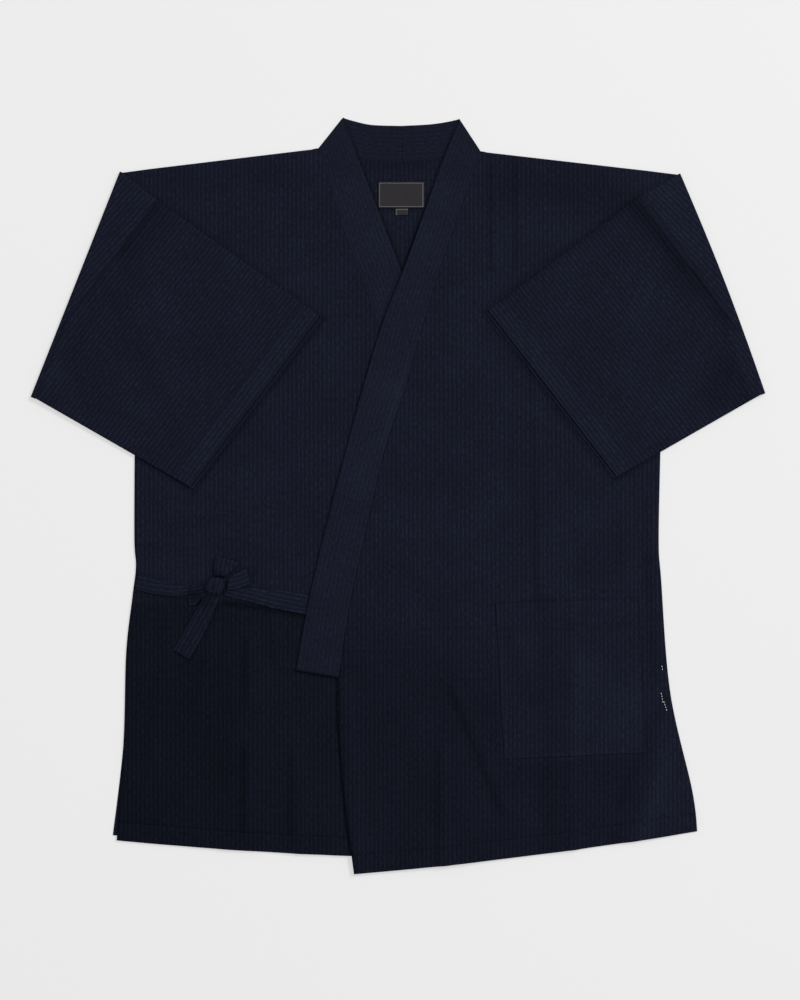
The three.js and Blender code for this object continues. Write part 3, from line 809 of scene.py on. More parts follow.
def back_nap(x, y, u, v):
    """Painted shadow beside the collars, under the neck band and round the label."""
    return over_lines(BACK_CREVICES, x, y, np.minimum)


def even_nap(x, y, u, v):
    """No painted shade or light anywhere."""
    return np.zeros_like(x)


# Painted light on the strip beside the armhole seam, and more of it near the seam.
STRIP_PAINTED_LIGHT = 0.07
STRIP_RIM_PAINTED_LIGHT = 0.24
STRIP_RIM = 0.9


def strip_nap(x, y, u, v):
    """Painted light on the strip beside the armhole seam, most of all at the seam."""
    return STRIP_PAINTED_LIGHT + STRIP_RIM_PAINTED_LIGHT * smoothstep(u, STRIP_RIM, 1.0)


HEM_DEPTH = 22
# The hem's painted highlight at its turned edge, and its painted shade line where the turning ends.
HEM_EDGE = (0.5, 2.5)
HEM_EDGE_PAINTED_LIGHT = 0.12
HEM_LINE_PAINTED_SHADE = 0.17
HEM_LINE_WIDTH = 1.6


def hem_nap(depth):
    """Painted highlight on the turned edge, and painted shade in a line where the hem's turning ends."""
    edge = HEM_EDGE_PAINTED_LIGHT * (1 - smoothstep(depth, *HEM_EDGE))
    return edge - HEM_LINE_PAINTED_SHADE * bell(depth, HEM_DEPTH, HEM_LINE_WIDTH)


print("nap below the ties at the middle:", float(table_at(LOW_PAINTED_SHADE, 0)))

# %% [markdown]
# ## How a piece is sewn from grids
#
# A panel with a folded flap isn't one rectangle, but it is a few: the chest, the skirt, the
# strip beside the armhole, the round of the fold and the flap. Each is a `create_grid` whose
# corners meet, bent to its place, and `remove_doubles` sews them. The grid keeps its own cloth
# coordinates on its face corners, so the stripes run on round the fold as woven cloth does.

# %% Grids
SEW_WITHIN = 0.02


def bend_grid(shape, columns, rows, place, thread, nap):
    """Adds a grid to the shape. place gives x, y, z and thread gives cloth x, y, in mm, at u, v."""
    corners = bmesh.ops.create_grid(shape, x_segments=columns, y_segments=rows, size=0.5)["verts"]
    u = np.array([corner.co.x + 0.5 for corner in corners])
    v = np.array([0.5 - corner.co.y for corner in corners])
    places, threads = place(u, v) * MM, thread(u, v) * MM
    # Painted shade and light at each corner, which the cotton's colour reads.
    shade = nap(places[:, 0] / MM, places[:, 1] / MM, u, v)
    nap_layer = shape.verts.layers.float["nap"]
    number = {}
    for index, corner in enumerate(corners):
        corner.co = places[index]
        corner[nap_layer] = shade[index]
        number[corner] = index
    cloth = shape.loops.layers.uv["cloth"]
    for face in {face for corner in corners for face in corner.link_faces}:
        for loop in face.loops:
            loop[cloth].uv = threads[number[loop.vert]]


def new_shape():
    """An empty shape with the layers that the cloth's material reads."""
    shape = bmesh.new()
    shape.loops.layers.uv.new("cloth")
    shape.verts.layers.float.new("nap")
    return shape


def as_piece(shape, name, material, thickness=None):
    """Sews the grids of a shape, makes it an object and gives the cloth its thickness."""
    bmesh.ops.remove_doubles(shape, verts=shape.verts, dist=SEW_WITHIN * MM)
    bmesh.ops.recalc_face_normals(shape, faces=shape.faces)
    mesh = bpy.data.meshes.new(name)
    shape.to_mesh(mesh)
    shape.free()
    mesh.shade_smooth()
    mesh.materials.append(material)
    piece = bpy.data.objects.new(name, mesh)
    bpy.context.scene.collection.objects.link(piece)
    if thickness:
        wall = piece.modifiers.new("cloth thickness", "SOLIDIFY")
        wall.thickness = thickness * MM
        wall.offset = 0
    area = sum(face.area for face in mesh.polygons)
    print(name, "faces", len(mesh.polygons), "area in m2", round(area, 4))
    return piece


def dress(piece, node):
    """The piece rides on the jacket and stands for its CAD node, which is hidden."""
    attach(piece, "root")
    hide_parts(node)


# %% [markdown]
# ## Back and fronts
#
# The back is one wide piece that shows inside the neck, along the hems and, turned over, as the
# strip between each sleeve fold and the armhole seam. Each front is cut to its collar seam. All
# have the same chest, skirt, strip, fold and flap, so one maker sews a half of any of them. The
# hem is a doubled turning 22 mm deep, so the cloth is a little thicker there.

# %% Turnings and hems
HEM_STEP = 0.35
TURNING_FULL = 2
TURNING_GONE = 1


def doubled(depth, deep):
    """1 where a turning this deep doubles the cloth, and 0 past the turning's inner edge."""
    return 1 - smoothstep(depth, deep - TURNING_FULL, deep + TURNING_GONE)


def sagged(line):
    """A hem that hangs a little lower in its middle than at its ends."""

    def lower(t):
        t = np.asarray(t, float)
        return line(t) - (HEM_SAG * 4 * t * (1 - t))[..., None] * np.array([0, 1.0])

    return lower


def closer_rows(v, rows, share):
    """Draws the last rows closer together: that share of the rows fills that share of the length."""
    return np.where(v < 1 - rows, v / (1 - rows) * (1 - share), 1 - (1 - v) / rows * share)


def rise_below(half, flat):
    """How far the front under a folded flap or sleeve is raised."""
    rise = right_front_rise if half["side"] < 0 else left_front_rise
    return rise(flat[:, 0], flat[:, 1])


# %% Cells of a panel
# Sizes in mm that the numbers of cells are worked out from.
CELL = 3.3
BACK_CELL = 4.4
CHEST_LENGTH = 330
SKIRT_LENGTH = 520
HALF_WIDTH = 370
YOKE_CELLS = 16
FOLD_CELLS = 8
FLAP_CELLS = 10
HEM_ROWS = 0.16
HEM_SHARE = 0.06
# The flap stands up a little in its middle, but only where it is wide. Widths are in mm.
FLAP_PUFF = 0.5
NARROW_FLAP = 6
WIDE_FLAP = 40
print("cells across a front:", round(HALF_WIDTH / CELL))


# %% One half of a panel
def sew_half(shape, half, inner, outer, top_edge, level, rise, nap, underarm_height, cell):
    """Adds one half of a body panel, from its inner edge out to the armhole seam."""
    inner_share = passes(inner, underarm_height)
    underarm = np.array(half["underarm"], float)
    underarm_row = straight(inner(inner_share), underarm)
    side = straight(half["shoulder_turn"], underarm)
    hem = sagged(straight(inner(1.0), outer(1.0)))
    line, inward = fold_of(half)
    seam = armhole_seam(half)
    radius = FOLD_RISE - level
    chest = patch(top_edge, underarm_row, part(inner, 0, inner_share), side)
    skirt = patch(underarm_row, hem, part(inner, inner_share, 1), outer)

    def raised(flat, extra=0.0):
        return np.column_stack([flat, level + rise(flat[:, 0], flat[:, 1]) + extra])

    # The skirt has closer rows at the hem, where its turning makes a step.
    def skirt_thread(u, v):
        return skirt(u, closer_rows(v, HEM_ROWS, HEM_SHARE))

    def hem_depth(u, v):
        return np.linalg.norm(skirt(u, np.ones_like(v)) - skirt_thread(u, v), axis=1)

    def skirt_place(u, v):
        return raised(skirt_thread(u, v), HEM_STEP * doubled(hem_depth(u, v), HEM_DEPTH))

    # The skirt gets the painted shading of the piece and of the hem.
    def skirt_nap(x, y, u, v):
        return nap(x, y, u, v) + hem_nap(hem_depth(u, v))

    # The strip between the armhole's place on the body and the fold.
    def yoke(u, v):
        return side(v) * (1 - u[:, None]) + line(v) * u[:, None]

    # The round of the fold, and its cloth laid out flat.
    def round_fold(u, v):
        flat = line(v) - (radius * np.sin(np.pi * u))[:, None] * inward
        return np.column_stack([flat, FOLD_RISE - radius * np.cos(np.pi * u)])

    def unrolled(u, v):
        return line(v) - (np.pi * radius * u)[:, None] * inward

    # The flap lies folded over the front. Its cloth coordinates are mirrored at the fold.
    def flap(u, v):
        crest, end = line(v), seam(v)
        flat = crest + u[:, None] * (end - crest)
        width = np.linalg.norm(end - crest, axis=1)
        puff = FLAP_PUFF * np.sin(np.pi * u) * smoothstep(width, NARROW_FLAP, WIDE_FLAP)
        lift = rise_below(half, flat) * smoothstep(u, 0, 0.5)
        return np.column_stack([flat, FOLD_RISE + radius + puff + lift])

    def flap_thread(u, v):
        reach = seam(v) - line(v)
        mirrored = reach - 2 * (reach @ inward)[:, None] * inward
        return unrolled(np.ones_like(u), v) + u[:, None] * mirrored

    rows, columns = round(CHEST_LENGTH / cell), round(HALF_WIDTH / cell)
    bend_grid(shape, columns, rows, lambda u, v: raised(chest(u, v)), chest, nap)
    bend_grid(shape, columns, round(SKIRT_LENGTH / cell), skirt_place, skirt_thread, skirt_nap)
    bend_grid(shape, YOKE_CELLS, rows, lambda u, v: raised(yoke(u, v)), yoke, nap)
    bend_grid(shape, FOLD_CELLS, rows, round_fold, unrolled, even_nap)
    bend_grid(shape, FLAP_CELLS, rows, flap, flap_thread, strip_nap)


# %% [markdown]
# ## The back
#
# The back could be cut as one grid, but its two sides aren't quite alike. So each half is bent
# to its own side, and `remove_doubles` joins them in the middle. At the neck the cloth is tucked
# a little under the collar band, as a seam allowance is.

# %% Back
NECK_SHARE = 0.6
NECK_TUCK = 0.8
NECK_TUCK_ENDS = 0.05
BACK_UNDERARM = 86.8


def seam_side(rows):
    """The places where a band is sewn on, from its table."""
    return [row[:2] for row in rows]


def free_side(rows):
    """The places of a band's free edge, from its table."""
    return [row[2:] for row in rows]


def back_top_edge(half, neckline):
    """The neckline first, tucked a little under the collar's seam, then the shoulder."""
    neck = smooth_line(seam_side(neckline))
    shoulder = straight(neck(1.0), half["shoulder_turn"])

    def edge(t):
        t = np.asarray(t, float)
        beside_neck = neck(np.clip(t / NECK_SHARE, 0, 1)) + np.array([0, NECK_TUCK])
        along = np.clip((t - NECK_SHARE) / (1 - NECK_SHARE), 0, 1)
        drop = NECK_TUCK - (SEAM + NECK_TUCK) * smoothstep(along, 0, NECK_TUCK_ENDS)
        beside_shoulder = shoulder(along) + drop[..., None] * np.array([0, 1.0])
        return np.where((t < NECK_SHARE)[..., None], beside_neck, beside_shoulder)

    return edge


back_shape = new_shape()
BACK_HALVES = ((RIGHT_HALF, RIGHT_NECKLINE, RIGHT_SIDE), (LEFT_HALF, LEFT_NECKLINE, LEFT_SIDE))
for half, neckline, side_rows in BACK_HALVES:
    edge = back_top_edge(half, neckline)
    middle = straight(edge(0.0), (CENTRE_BACK, BACK_HEM_MIDDLE))
    outer = smooth_line([*side_rows[:-1], half["back_hem_corner"]])
    sew_half(
        back_shape, half, middle, outer, edge, BACK_MIDDLE, back_rise, back_nap, BACK_UNDERARM, BACK_CELL
    )
back_cloth = as_piece(back_shape, "back_cloth", indigo_cotton, CLOTH)
dress(back_cloth, "back")

# %% [markdown]
# ## The fronts
#
# A front is cut along its collar seam, from the neck point to the collar's end, and then falls
# to the hem. Both could come from one pattern, mirrored, but the right front is mostly covered
# and the left one was laid a little askew, so each has its own edges.

# %% Fronts
COLLAR_SHARE = 0.73
FRONT_TUCK = 0.6


def front_inner_edge(half, collar, edge_rows):
    """Beside the collar seam as far as the collar's end, then down to the hem."""
    tuck = np.array([half["side"] * FRONT_TUCK, 0])
    seam = smooth_line(seam_side(collar))
    below = smooth_line([seam_side(collar)[-1], *edge_rows])

    def edge(t):
        t = np.asarray(t, float)
        beside = seam(np.clip(t / COLLAR_SHARE, 0, 1))
        under = below(np.clip((t - COLLAR_SHARE) / (1 - COLLAR_SHARE), 0, 1))
        return np.where((t < COLLAR_SHARE)[..., None], beside, under) - tuck

    return edge


def sew_front(name, half, collar, edge_rows, side_rows, rise):
    """One front, from its inner edge and its side, with the flap that is folded over it."""
    shape = new_shape()
    inner = front_inner_edge(half, collar, edge_rows)
    top = straight(inner(0.0), half["shoulder_turn"])
    outer = smooth_line(side_rows)
    sew_half(shape, half, inner, outer, top, FRONT_MIDDLE, rise, front_nap, half["underarm"][1], CELL)
    return as_piece(shape, name, indigo_cotton, CLOTH)


right_front_cloth = sew_front(
    "right_front_cloth", RIGHT_HALF, RIGHT_COLLAR, RIGHT_FRONT_EDGE, RIGHT_SIDE, right_front_rise
)
left_front_cloth = sew_front(
    "left_front_cloth", LEFT_HALF, LEFT_COLLAR, LEFT_FRONT_EDGE, LEFT_SIDE, left_front_rise
)
dress(right_front_cloth, "right_front")
dress(left_front_cloth, "left_front")

# %% [markdown]
# ## Sleeves
#
# A sleeve is a tube of cloth, flattened and turned over the front. Two flat sheets would be
# simpler, but their long edges would stay open. So one grid goes round the tube, its long edges
# are sewn, and the cuff stays open, with the under layer a few millimetres past the upper one.
# The upper layer billows a little and carries the soft folds. The cuff hem is 25 mm deep.

# %% The sleeve tube
SLEEVE_REST = WALL + GAP + WALL + GAP
SEAM_REST = 2 * FOLD_RISE - (WALL + GAP) - WALL
TUBE_RADIUS = 0.65
TUBE_MIDDLE = WALL + GAP / 2
TUBE_CLEARANCE = 0.2
# Share of the way round that the round of each long edge takes.
EDGE_SHARE = 0.05
# Shares of the rows, and of the length that they fill, beside the seam and beside the cuff.
NEAR_SEAM_ROWS = 0.12
NEAR_SEAM_SHARE = 0.05
NEAR_CUFF_ROWS = 0.25
NEAR_CUFF_SHARE = 0.09


def tube_station(share, margin):
    """Once round the flattened tube: the share v across it and the angle round its edge."""
    quarter = np.pi / 2
    flat = 0.5 - EDGE_SHARE
    ring = np.mod(share, 1.0)
    under = ring < flat
    far_edge = (ring >= flat) & (ring < 0.5)
    over = (ring >= 0.5) & (ring < 0.5 + flat)
    v = np.where(under, ring / flat, np.where(over, 1 - (ring - 0.5) / flat, np.where(far_edge, 1.0, 0.0)))
    turn_far = (ring - flat) / EDGE_SHARE * np.pi - quarter
    turn_near = (ring - 0.5 - flat) / EDGE_SHARE * np.pi + quarter
    angle = np.where(under, -quarter, np.where(over, quarter, np.where(far_edge, turn_far, turn_near)))
    return np.clip(v, margin, 1 - margin), angle


def sleeve_rows(v):
    """Draws the rows closer together beside the seam and beside the cuff."""
    rows = [0, NEAR_SEAM_ROWS, 1 - NEAR_CUFF_ROWS, 1]
    return np.interp(v, rows, [0, NEAR_SEAM_SHARE, 1 - NEAR_CUFF_SHARE, 1])


# %% Sizes and painted shading of a sleeve
SLEEVE_AROUND = 140
SLEEVE_ALONG = 110
SLEEVE_TUCK = 0.5
SLEEVE_SETTLES = 0.7
SLEEVE_BILLOW = 1.5
# Height and wavelength of the soft hills in mm.
SLEEVE_HILLS = [(1.3, 90), (0.5, 30)]
UNDER_CUFF_SHOWS = 4
CUFF_HEM = 25
# Beside the armhole the seam allowances raise the cloth: where the roll rises, and where it ends.
ROLL_RISES = (0, 3)
ROLL_ENDS = (10, 22)
# Change of the colour, its place and its width, in mm from the seam or from the cuff: a lighter
# cuff band, a painted shade line where it ends, a painted highlight on the seam roll and painted
# shade on the slope beyond it.
CUFF_BAND_LIGHTER = 0.1
CUFF_LINE_PAINTED_SHADE = 0.2
CUFF_LINE_WIDTH = 1.5
CUFF_LIP = (0.6, 2.2)
CUFF_INSIDE = (2.2, 4.0)
ROLL_PAINTED_HIGHLIGHT = 0.09
ROLL_BELL = (9, 3.5)
SLOPE_PAINTED_SHADE = -0.07
SLOPE_BELL = (24, 12)
SEAM_SHADE_REACH = 4
print("cells of a sleeve:", SLEEVE_AROUND * SLEEVE_ALONG)


# %% One sleeve
def sew_sleeve(name, half, folds, seed, roll, seam_shade, cuff_shades):
    """One sleeve, from the armhole seam to the cuff, with its folds, its roll and its painted shading."""
    seam, cuff = armhole_seam(half), straight(half["cuff_top"], half["cuff_foot"])
    outward = cuff(0.5) - seam(0.5)
    outward = outward / np.linalg.norm(outward)
    cuff_length = np.linalg.norm(cuff(1.0) - cuff(0.0))
    cuff_way = (cuff(1.0) - cuff(0.0)) / cuff_length
    cuff_out = np.array([cuff_way[1], -cuff_way[0]]) * half["side"] * -1
    margin = (TUBE_MIDDLE + TUBE_CLEARANCE) / cuff_length
    seeded_hills = [(*hill, seed + step) for step, hill in enumerate(SLEEVE_HILLS)]

    def spread(u, v):
        start = seam(v) - SLEEVE_TUCK * outward
        return start + u[:, None] * (cuff(v) - start)

    def length(v):
        return np.linalg.norm(cuff(v) - seam(v), axis=1)

    def place(ring, down):
        v, angle = tube_station(ring, margin)
        u = sleeve_rows(down)
        upper = (1 + np.sin(angle)) / 2
        edge_way = spread(u, np.ones_like(v)) - spread(u, np.zeros_like(v))
        edge_way = edge_way / np.linalg.norm(edge_way, axis=1)[:, None]
        flat = spread(u, v) + (UNDER_CUFF_SHOWS * (1 - upper) * u)[:, None] * outward
        flat = flat + (TUBE_RADIUS * np.cos(angle))[:, None] * edge_way
        x, y = flat[:, 0], flat[:, 1]
        base = SEAM_REST + (SLEEVE_REST - SEAM_REST) * smoothstep(u, 0, SLEEVE_SETTLES)
        base = base + rise_below(half, flat)
        middle = np.sin(np.pi * u) * np.sin(np.pi * v)
        inside = np.sin(np.pi * np.clip(v, 0.0, 1.0))
        soft = over_lines(folds, x, y) + hills(seeded_hills, x, y)
        billow = upper * (SLEEVE_BILLOW * middle + soft * inside**0.5)
        hem = HEM_STEP * doubled(length(v) * (1 - u), CUFF_HEM) * np.sin(angle)
        from_seam = length(v) * u
        rolled = roll * smoothstep(from_seam, *ROLL_RISES)
        allowance = rolled * (1 - smoothstep(from_seam, *ROLL_ENDS)) * upper
        z = base + TUBE_MIDDLE + TUBE_RADIUS * np.sin(angle) + billow + hem + allowance
        return np.column_stack([flat, z])

    def thread(ring, down):
        v, _ = tube_station(ring, margin)
        flat = spread(sleeve_rows(down), v) - np.array(half["cuff_top"])
        return np.column_stack([flat @ cuff_out, flat @ cuff_way])

    # Painted shading of the upper layer and of the under layer that shows past the cuff.
    def sleeve_nap(x, y, ring, down):
        v, angle = tube_station(ring, margin)
        u = sleeve_rows(down)
        to_cuff, from_seam = length(v) * (1 - u), length(v) * u
        lip_nap, under_nap, inside_nap = cuff_shades
        hem = CUFF_BAND_LIGHTER * doubled(to_cuff, CUFF_HEM)
        band = hem - CUFF_LINE_PAINTED_SHADE * bell(to_cuff, CUFF_HEM, CUFF_LINE_WIDTH)
        lip = lip_nap * (1 - smoothstep(to_cuff, *CUFF_LIP))
        ridge = ROLL_PAINTED_HIGHLIGHT * bell(from_seam, *ROLL_BELL) - seam_shade * np.exp(-from_seam / SEAM_SHADE_REACH)
        slope = SLOPE_PAINTED_SHADE * bell(from_seam, *SLOPE_BELL)
        shown = under_nap + inside_nap * smoothstep(to_cuff, *CUFF_INSIDE)
        return np.where(angle > 0, band + lip + ridge + slope + over_lines(SLEEVE_SHADES, x, y), shown)

    shape = new_shape()
    bend_grid(shape, SLEEVE_AROUND, SLEEVE_ALONG, place, thread, sleeve_nap)
    return as_piece(shape, name, indigo_cotton, CLOTH)


# %% Both sleeves
# Columns of the painted shades: from x, y to x, y, then change of the painted shading and half width.
SLEEVE_SHADES = [
    (386, 148, 370, 120, -0.14, 26),
    (281, 345, 391, 201, -0.27, 13),
    (287, 350, 395, 207, 0.08, 4),
    (278, 342, 352, 246, -0.12, 26),
    (274, 341, 118, 227, -0.15, 7),
    (-278, 345, -318, 290, -0.22, 24),
    (-318, 290, -360, 230, -0.05, 20),
    (-405, 140, -385, 105, 0.18, 30),
    (291, 346, 348, 270, 0.14, 6),
    (284.5, 339.4, 337.5, 268.4, -0.1, 7),
    (351.4, 269, 393.4, 212, 0.14, 5),
    (345.3, 264.5, 387.3, 207.5, -0.2, 5),
    (-284, 337, -330, 276, -0.18, 5),
    (-335, 271, -383, 206, -0.07, 5),
    (250, 120, 200, 170, -0.05, 16),
    (-330, 230, -270, 110, -0.05, 16),
    (-230, 280, -150, 225, -0.05, 14),
]
# Columns of the folds: from x, y to x, y, then rise and half width.
RIGHT_SLEEVE_FOLDS = [
    (-300, 330, -200, 200, 0.6, 20),
    (-330, 240, -260, 90, 0.7, 18),
    (-230, 262, -150, 205, 0.6, 14),
    (-360, 190, -300, 80, 0.6, 16),
]
LEFT_SLEEVE_FOLDS = [
    (310, 320, 210, 210, 0.6, 20),
    (350, 240, 270, 100, 0.7, 18),
    (390, 170, 340, 90, 0.9, 16),
    (240, 270, 160, 215, 0.6, 14),
]
# Painted shading of the cuff's lip, of the under layer that shows past it, and of the cloth inside.
RIGHT_CUFF_SHADES = (-0.1, 0.0, -0.3)
LEFT_CUFF_SHADES = (0.2, 0.15, 0.45)
right_sleeve_cloth = sew_sleeve(
    "right_sleeve_cloth",
    RIGHT_HALF,
    RIGHT_SLEEVE_FOLDS,
    seed=21,
    roll=0.6,
    seam_shade=0.02,
    cuff_shades=RIGHT_CUFF_SHADES,
)
left_sleeve_cloth = sew_sleeve(
    "left_sleeve_cloth",
    LEFT_HALF,
    LEFT_SLEEVE_FOLDS,
    seed=31,
    roll=1.6,
    seam_shade=0.04,
    cuff_shades=LEFT_CUFF_SHADES,
)
dress(right_sleeve_cloth, "right_sleeve")
dress(left_sleeve_cloth, "left_sleeve")

# %% [markdown]
# ## Bands
#
# The collar and the ties are bands of doubled cloth: one edge is a fold and the other is a seam,
# so both edges are round. A curve with a bevel would give a round cord, not a flat band. So a
# band goes through frames: each has its two edges and the way up, and a rounded section is laid
# across it. The same maker serves the collar, which turns over at the neck, and the loops of the
# bow, which turn back on themselves.

# %% Bands
BAND_AROUND = 40
BAND_EDGE = 0.03
# The under face reads the cloth this much further on, and has this share of the pleats.
UNDER_FACE = 60
UNDER_PLEATS = 0.3


def section(share):
    """Once round a rounded strip: a from 0 to 1 across it and b from -1 under to 1 over."""
    ring = np.mod(share, 1.0) * 2
    over = ring < 1
    t = np.where(over, ring, 2 - ring)
    a = (1 - np.cos(np.pi * t)) / 2
    near_rim = np.clip(np.minimum(a, 1 - a) / BAND_EDGE, 0, 1)
    b = np.sqrt(1 - (1 - near_rim) ** 2)
    return a, np.where(over, b, -b)


def sew_band(name, frames, thickness, material, pleats=None, nap=even_nap):
    """A band through frames: seam x, y, z, free x, y, z and up, one for each row along it."""
    seam, free, up = (np.array(column, float) for column in zip(*frames))
    rows = len(frames) - 1
    step = np.linalg.norm(np.diff((seam + free) / 2, axis=0), axis=1)
    along = np.concatenate([[0], np.cumsum(step)])
    width = np.linalg.norm(free - seam, axis=1)

    def row_of(v):
        return np.clip(np.round(v * rows).astype(int), 0, rows)

    def place(u, v):
        row = row_of(v)
        a, b = section(u)
        lift = b * thickness / 2
        if pleats is not None:
            lift = lift + pleats(a, along[row], width[row]) * np.where(b > 0, 1, UNDER_PLEATS)
        return seam[row] + a[:, None] * (free[row] - seam[row]) + lift[:, None] * up[row]

    def thread(u, v):
        row = row_of(v)
        a, b = section(u)
        return np.column_stack([a * width[row] + np.where(b < 0, UNDER_FACE, 0), along[row]])

    shape = new_shape()
    bend_grid(shape, BAND_AROUND, rows, place, thread, nap)
    bmesh.ops.remove_doubles(shape, verts=shape.verts, dist=SEW_WITHIN * MM)
    bmesh.ops.holes_fill(shape, edges=[edge for edge in shape.edges if edge.is_boundary])
    bmesh.ops.triangulate(shape, faces=[face for face in shape.faces if len(face.verts) > 4])
    piece = as_piece(shape, name, material)
    print(name, "length in mm", round(float(along[-1]), 1), "mean width", round(float(width.mean()), 1))
    return piece


# %% [markdown]
# ## The collar
#
# The real collar is a folded strip with a seam at the centre back. It stands behind the neck
# and turns over at the neck corners, so that its other face shows down the front. Two bands,
# one for each half, meet at the centre back. The band's turn is half a circle of frames.

# %% Frames of the collar
UNDER_COLLAR_MIDDLE = BAND_WALL + GAP + BAND_WALL / 2
NECK_ROWS = 30
TURN_ROWS = 10
ARM_ROWS = 190
COLLAR_SETTLES = 0.06


def collar_frames(half, neckline, arm, height):
    """From the middle of the back neck, round the neck turn, and down the front."""
    neck_seam, neck_free = smooth_line(seam_side(neckline)), smooth_line(free_side(neckline))
    arm_seam, arm_free = smooth_line(seam_side(arm)), smooth_line(free_side(arm))
    low = BAND_WALL / 2
    axis_height = (BAND_WALL + BAND_WALL + GAP) / 2
    radius = axis_height - low
    foot, top = neck_seam(1.0), neck_free(1.0)
    inward = inward_of(top, foot, half["side"])
    inset = np.array([axis_height / inward[0], 0])
    up = np.array([0, 0, 1.0])
    frames = []
    for t in np.linspace(0, 1, NECK_ROWS, endpoint=False):
        shift = inset * t
        frames.append(([*(neck_seam(t) + shift), low], [*(neck_free(t) + shift), low], up))
    for angle in np.linspace(0, np.pi, TURN_ROWS + 1):
        shift = inset - radius * np.sin(angle) * inward
        z = axis_height - radius * np.cos(angle)
        over = np.array([*(inward * np.sin(angle)), np.cos(angle)])
        frames.append(([*(foot + shift), z], [*(top + shift), z], over))
    for t in np.linspace(0, 1, ARM_ROWS + 1)[1:]:
        settle = smoothstep(t, 0, COLLAR_SETTLES)
        ends = []
        for place in (arm_seam(t), arm_free(t)):
            lift = float(height(np.array([place[0]]), np.array([place[1]]))[0])
            ends.append([*place, UNDER_COLLAR_MIDDLE + settle * lift])
        frames.append((*ends, -up))
    return frames


# %% Painted shading and puckers of the collar
# Columns: from x, y to x, y, then change of the painted shading and half width.
# Painted light over the centre seam's gap, a painted line beside it, and painted shadow under the turned
# edges.
COLLAR_SHADES = [
    (3.5, 438, 3.5, 390, 0.2, 3),
    (0, 436, 0, 396, -0.14, 2.5),
    (72, 440, 49, 386, -0.35, 6),
    (-65, 440, -46, 394, -0.3, 6),
]
# Painted shadow on the right half where the left half lies over it.
UNDER_OVER_COLLAR = [
    (15, 289.5, -19.5, 199.4, -0.4, 6),
    (49, 386, 15, 289.5, -0.4, 6),
]
# Painted light down the middle of the front arm and beside its seam, and painted shade lower down.
ARM_SHADES = [
    (-25, 110, -50, 10, 0.08, 70),
    (15, 170, -19, 60, 0.14, 6),
    (-80, -130, -95, -200, -0.05, 60),
]
# Share of a band that lies behind the neck, and its painted shade.
NECK_PART = 0.13
NECK_PAINTED_SHADE = -0.08
# Painted light and shade along the front of the collar, and the step of that wave in mm.
WAVE_PAINTED_SHADING = 0.02
WAVE_STEP = 9
# Puckers beside the seam: rise and pitch in mm, place and spread as shares of the width.
PUCKER_RISE = 0.10
PUCKER_PITCH = 11.0
PUCKER_AT = 0.06
PUCKER_SPREAD = 0.02


def collar_nap(x, y, u, v):
    """Painted shade inside the neck, lines at its centre seam and shadow under its turned edges."""
    front = WAVE_PAINTED_SHADING * np.sin(y / WAVE_STEP) + over_lines(ARM_SHADES, x, y)
    return np.where(v < NECK_PART, NECK_PAINTED_SHADE + over_lines(COLLAR_SHADES, x, y), front)


def under_collar_nap(x, y, u, v):
    """The right half also gets painted shadow where the left half lies over it."""
    return collar_nap(x, y, u, v) + over_lines(UNDER_OVER_COLLAR, x, y) * np.where(v < NECK_PART, 0, 1)


def collar_pleats(a, along, width):
    """Slight puckers beside the seam edge, where the band was sewn on."""
    near_seam = np.exp(-((a - PUCKER_AT) ** 2) / PUCKER_SPREAD)
    return PUCKER_RISE * near_seam * np.sin(2 * np.pi * along / PUCKER_PITCH)


# %% Collar
under_frames = collar_frames(RIGHT_HALF, RIGHT_NECKLINE, RIGHT_COLLAR, right_front_rise)
over_frames = collar_frames(LEFT_HALF, LEFT_NECKLINE, LEFT_COLLAR, left_front_rise)
right_collar_cloth = sew_band(
    "right_collar_cloth", under_frames, BAND_WALL, band_cotton, collar_pleats, under_collar_nap
)
left_collar_cloth = sew_band(
    "left_collar_cloth", over_frames, BAND_WALL, band_cotton, collar_pleats, collar_nap
)
dress(right_collar_cloth, "right_collar")
dress(left_collar_cloth, "left_collar")

# %% [markdown]
# ## Ties and bow
#
# Each tie is a narrow folded band, tied in a bow. A rope tool would make it round and even. Real
# ties gather into pleats where the knot pulls them narrow, so each band has a table of widths
# and its pleats get deeper as it narrows.

# %% Tie tables
# Columns: x, y and z of the middle, width, and the heading of the width in degrees.
SIDE_TIE = [
    (-308.5, -101.2, 3.2, 20, 80),
    (-295, -104.6, 3.3, 18.5, 78),
    (-280.8, -108.2, 3.2, 14, 78),
    (-257.2, -112, 3.3, 10, 86),
    (-226, -109, 3.5, 9, 100),
]
FRONT_TIE = [
    (-106.6, -128.4, 3.2, 24, 79),
    (-135, -123.5, 3.3, 23.4, 80),
    (-162.8, -118.8, 3.2, 22.4, 84),
    (-182, -116, 3.2, 18, 90),
    (-194.7, -114.5, 3.3, 13.5, 93),
    (-206, -112.2, 3.6, 10, 96),
]
UPPER_LOOP = [
    (-209.6, -94.6, 3.7, 14, -6),
    (-205.5, -85, 3.3, 20, -12),
    (-201.6, -76.4, 3.2, 26, -17),
    (-200.9, -74.6, 4.4, 26.4, -17),
    (-201.6, -76.4, 5.6, 26, -17),
    (-205.5, -85, 5.8, 20, -12),
    (-209.6, -94.6, 5.9, 14, -6),
]
SIDE_LOOP = [
    (-200.6, -105.4, 3.8, 13, 82),
    (-189, -100.4, 3.3, 17, 94),
    (-177.6, -95.6, 3.2, 19.2, 103),
    (-176, -95, 4.4, 19.4, 103),
    (-177.6, -95.6, 5.6, 19.2, 103),
    (-189, -100.4, 5.8, 17, 94),
    (-200.6, -105.4, 6.0, 13, 82),
]
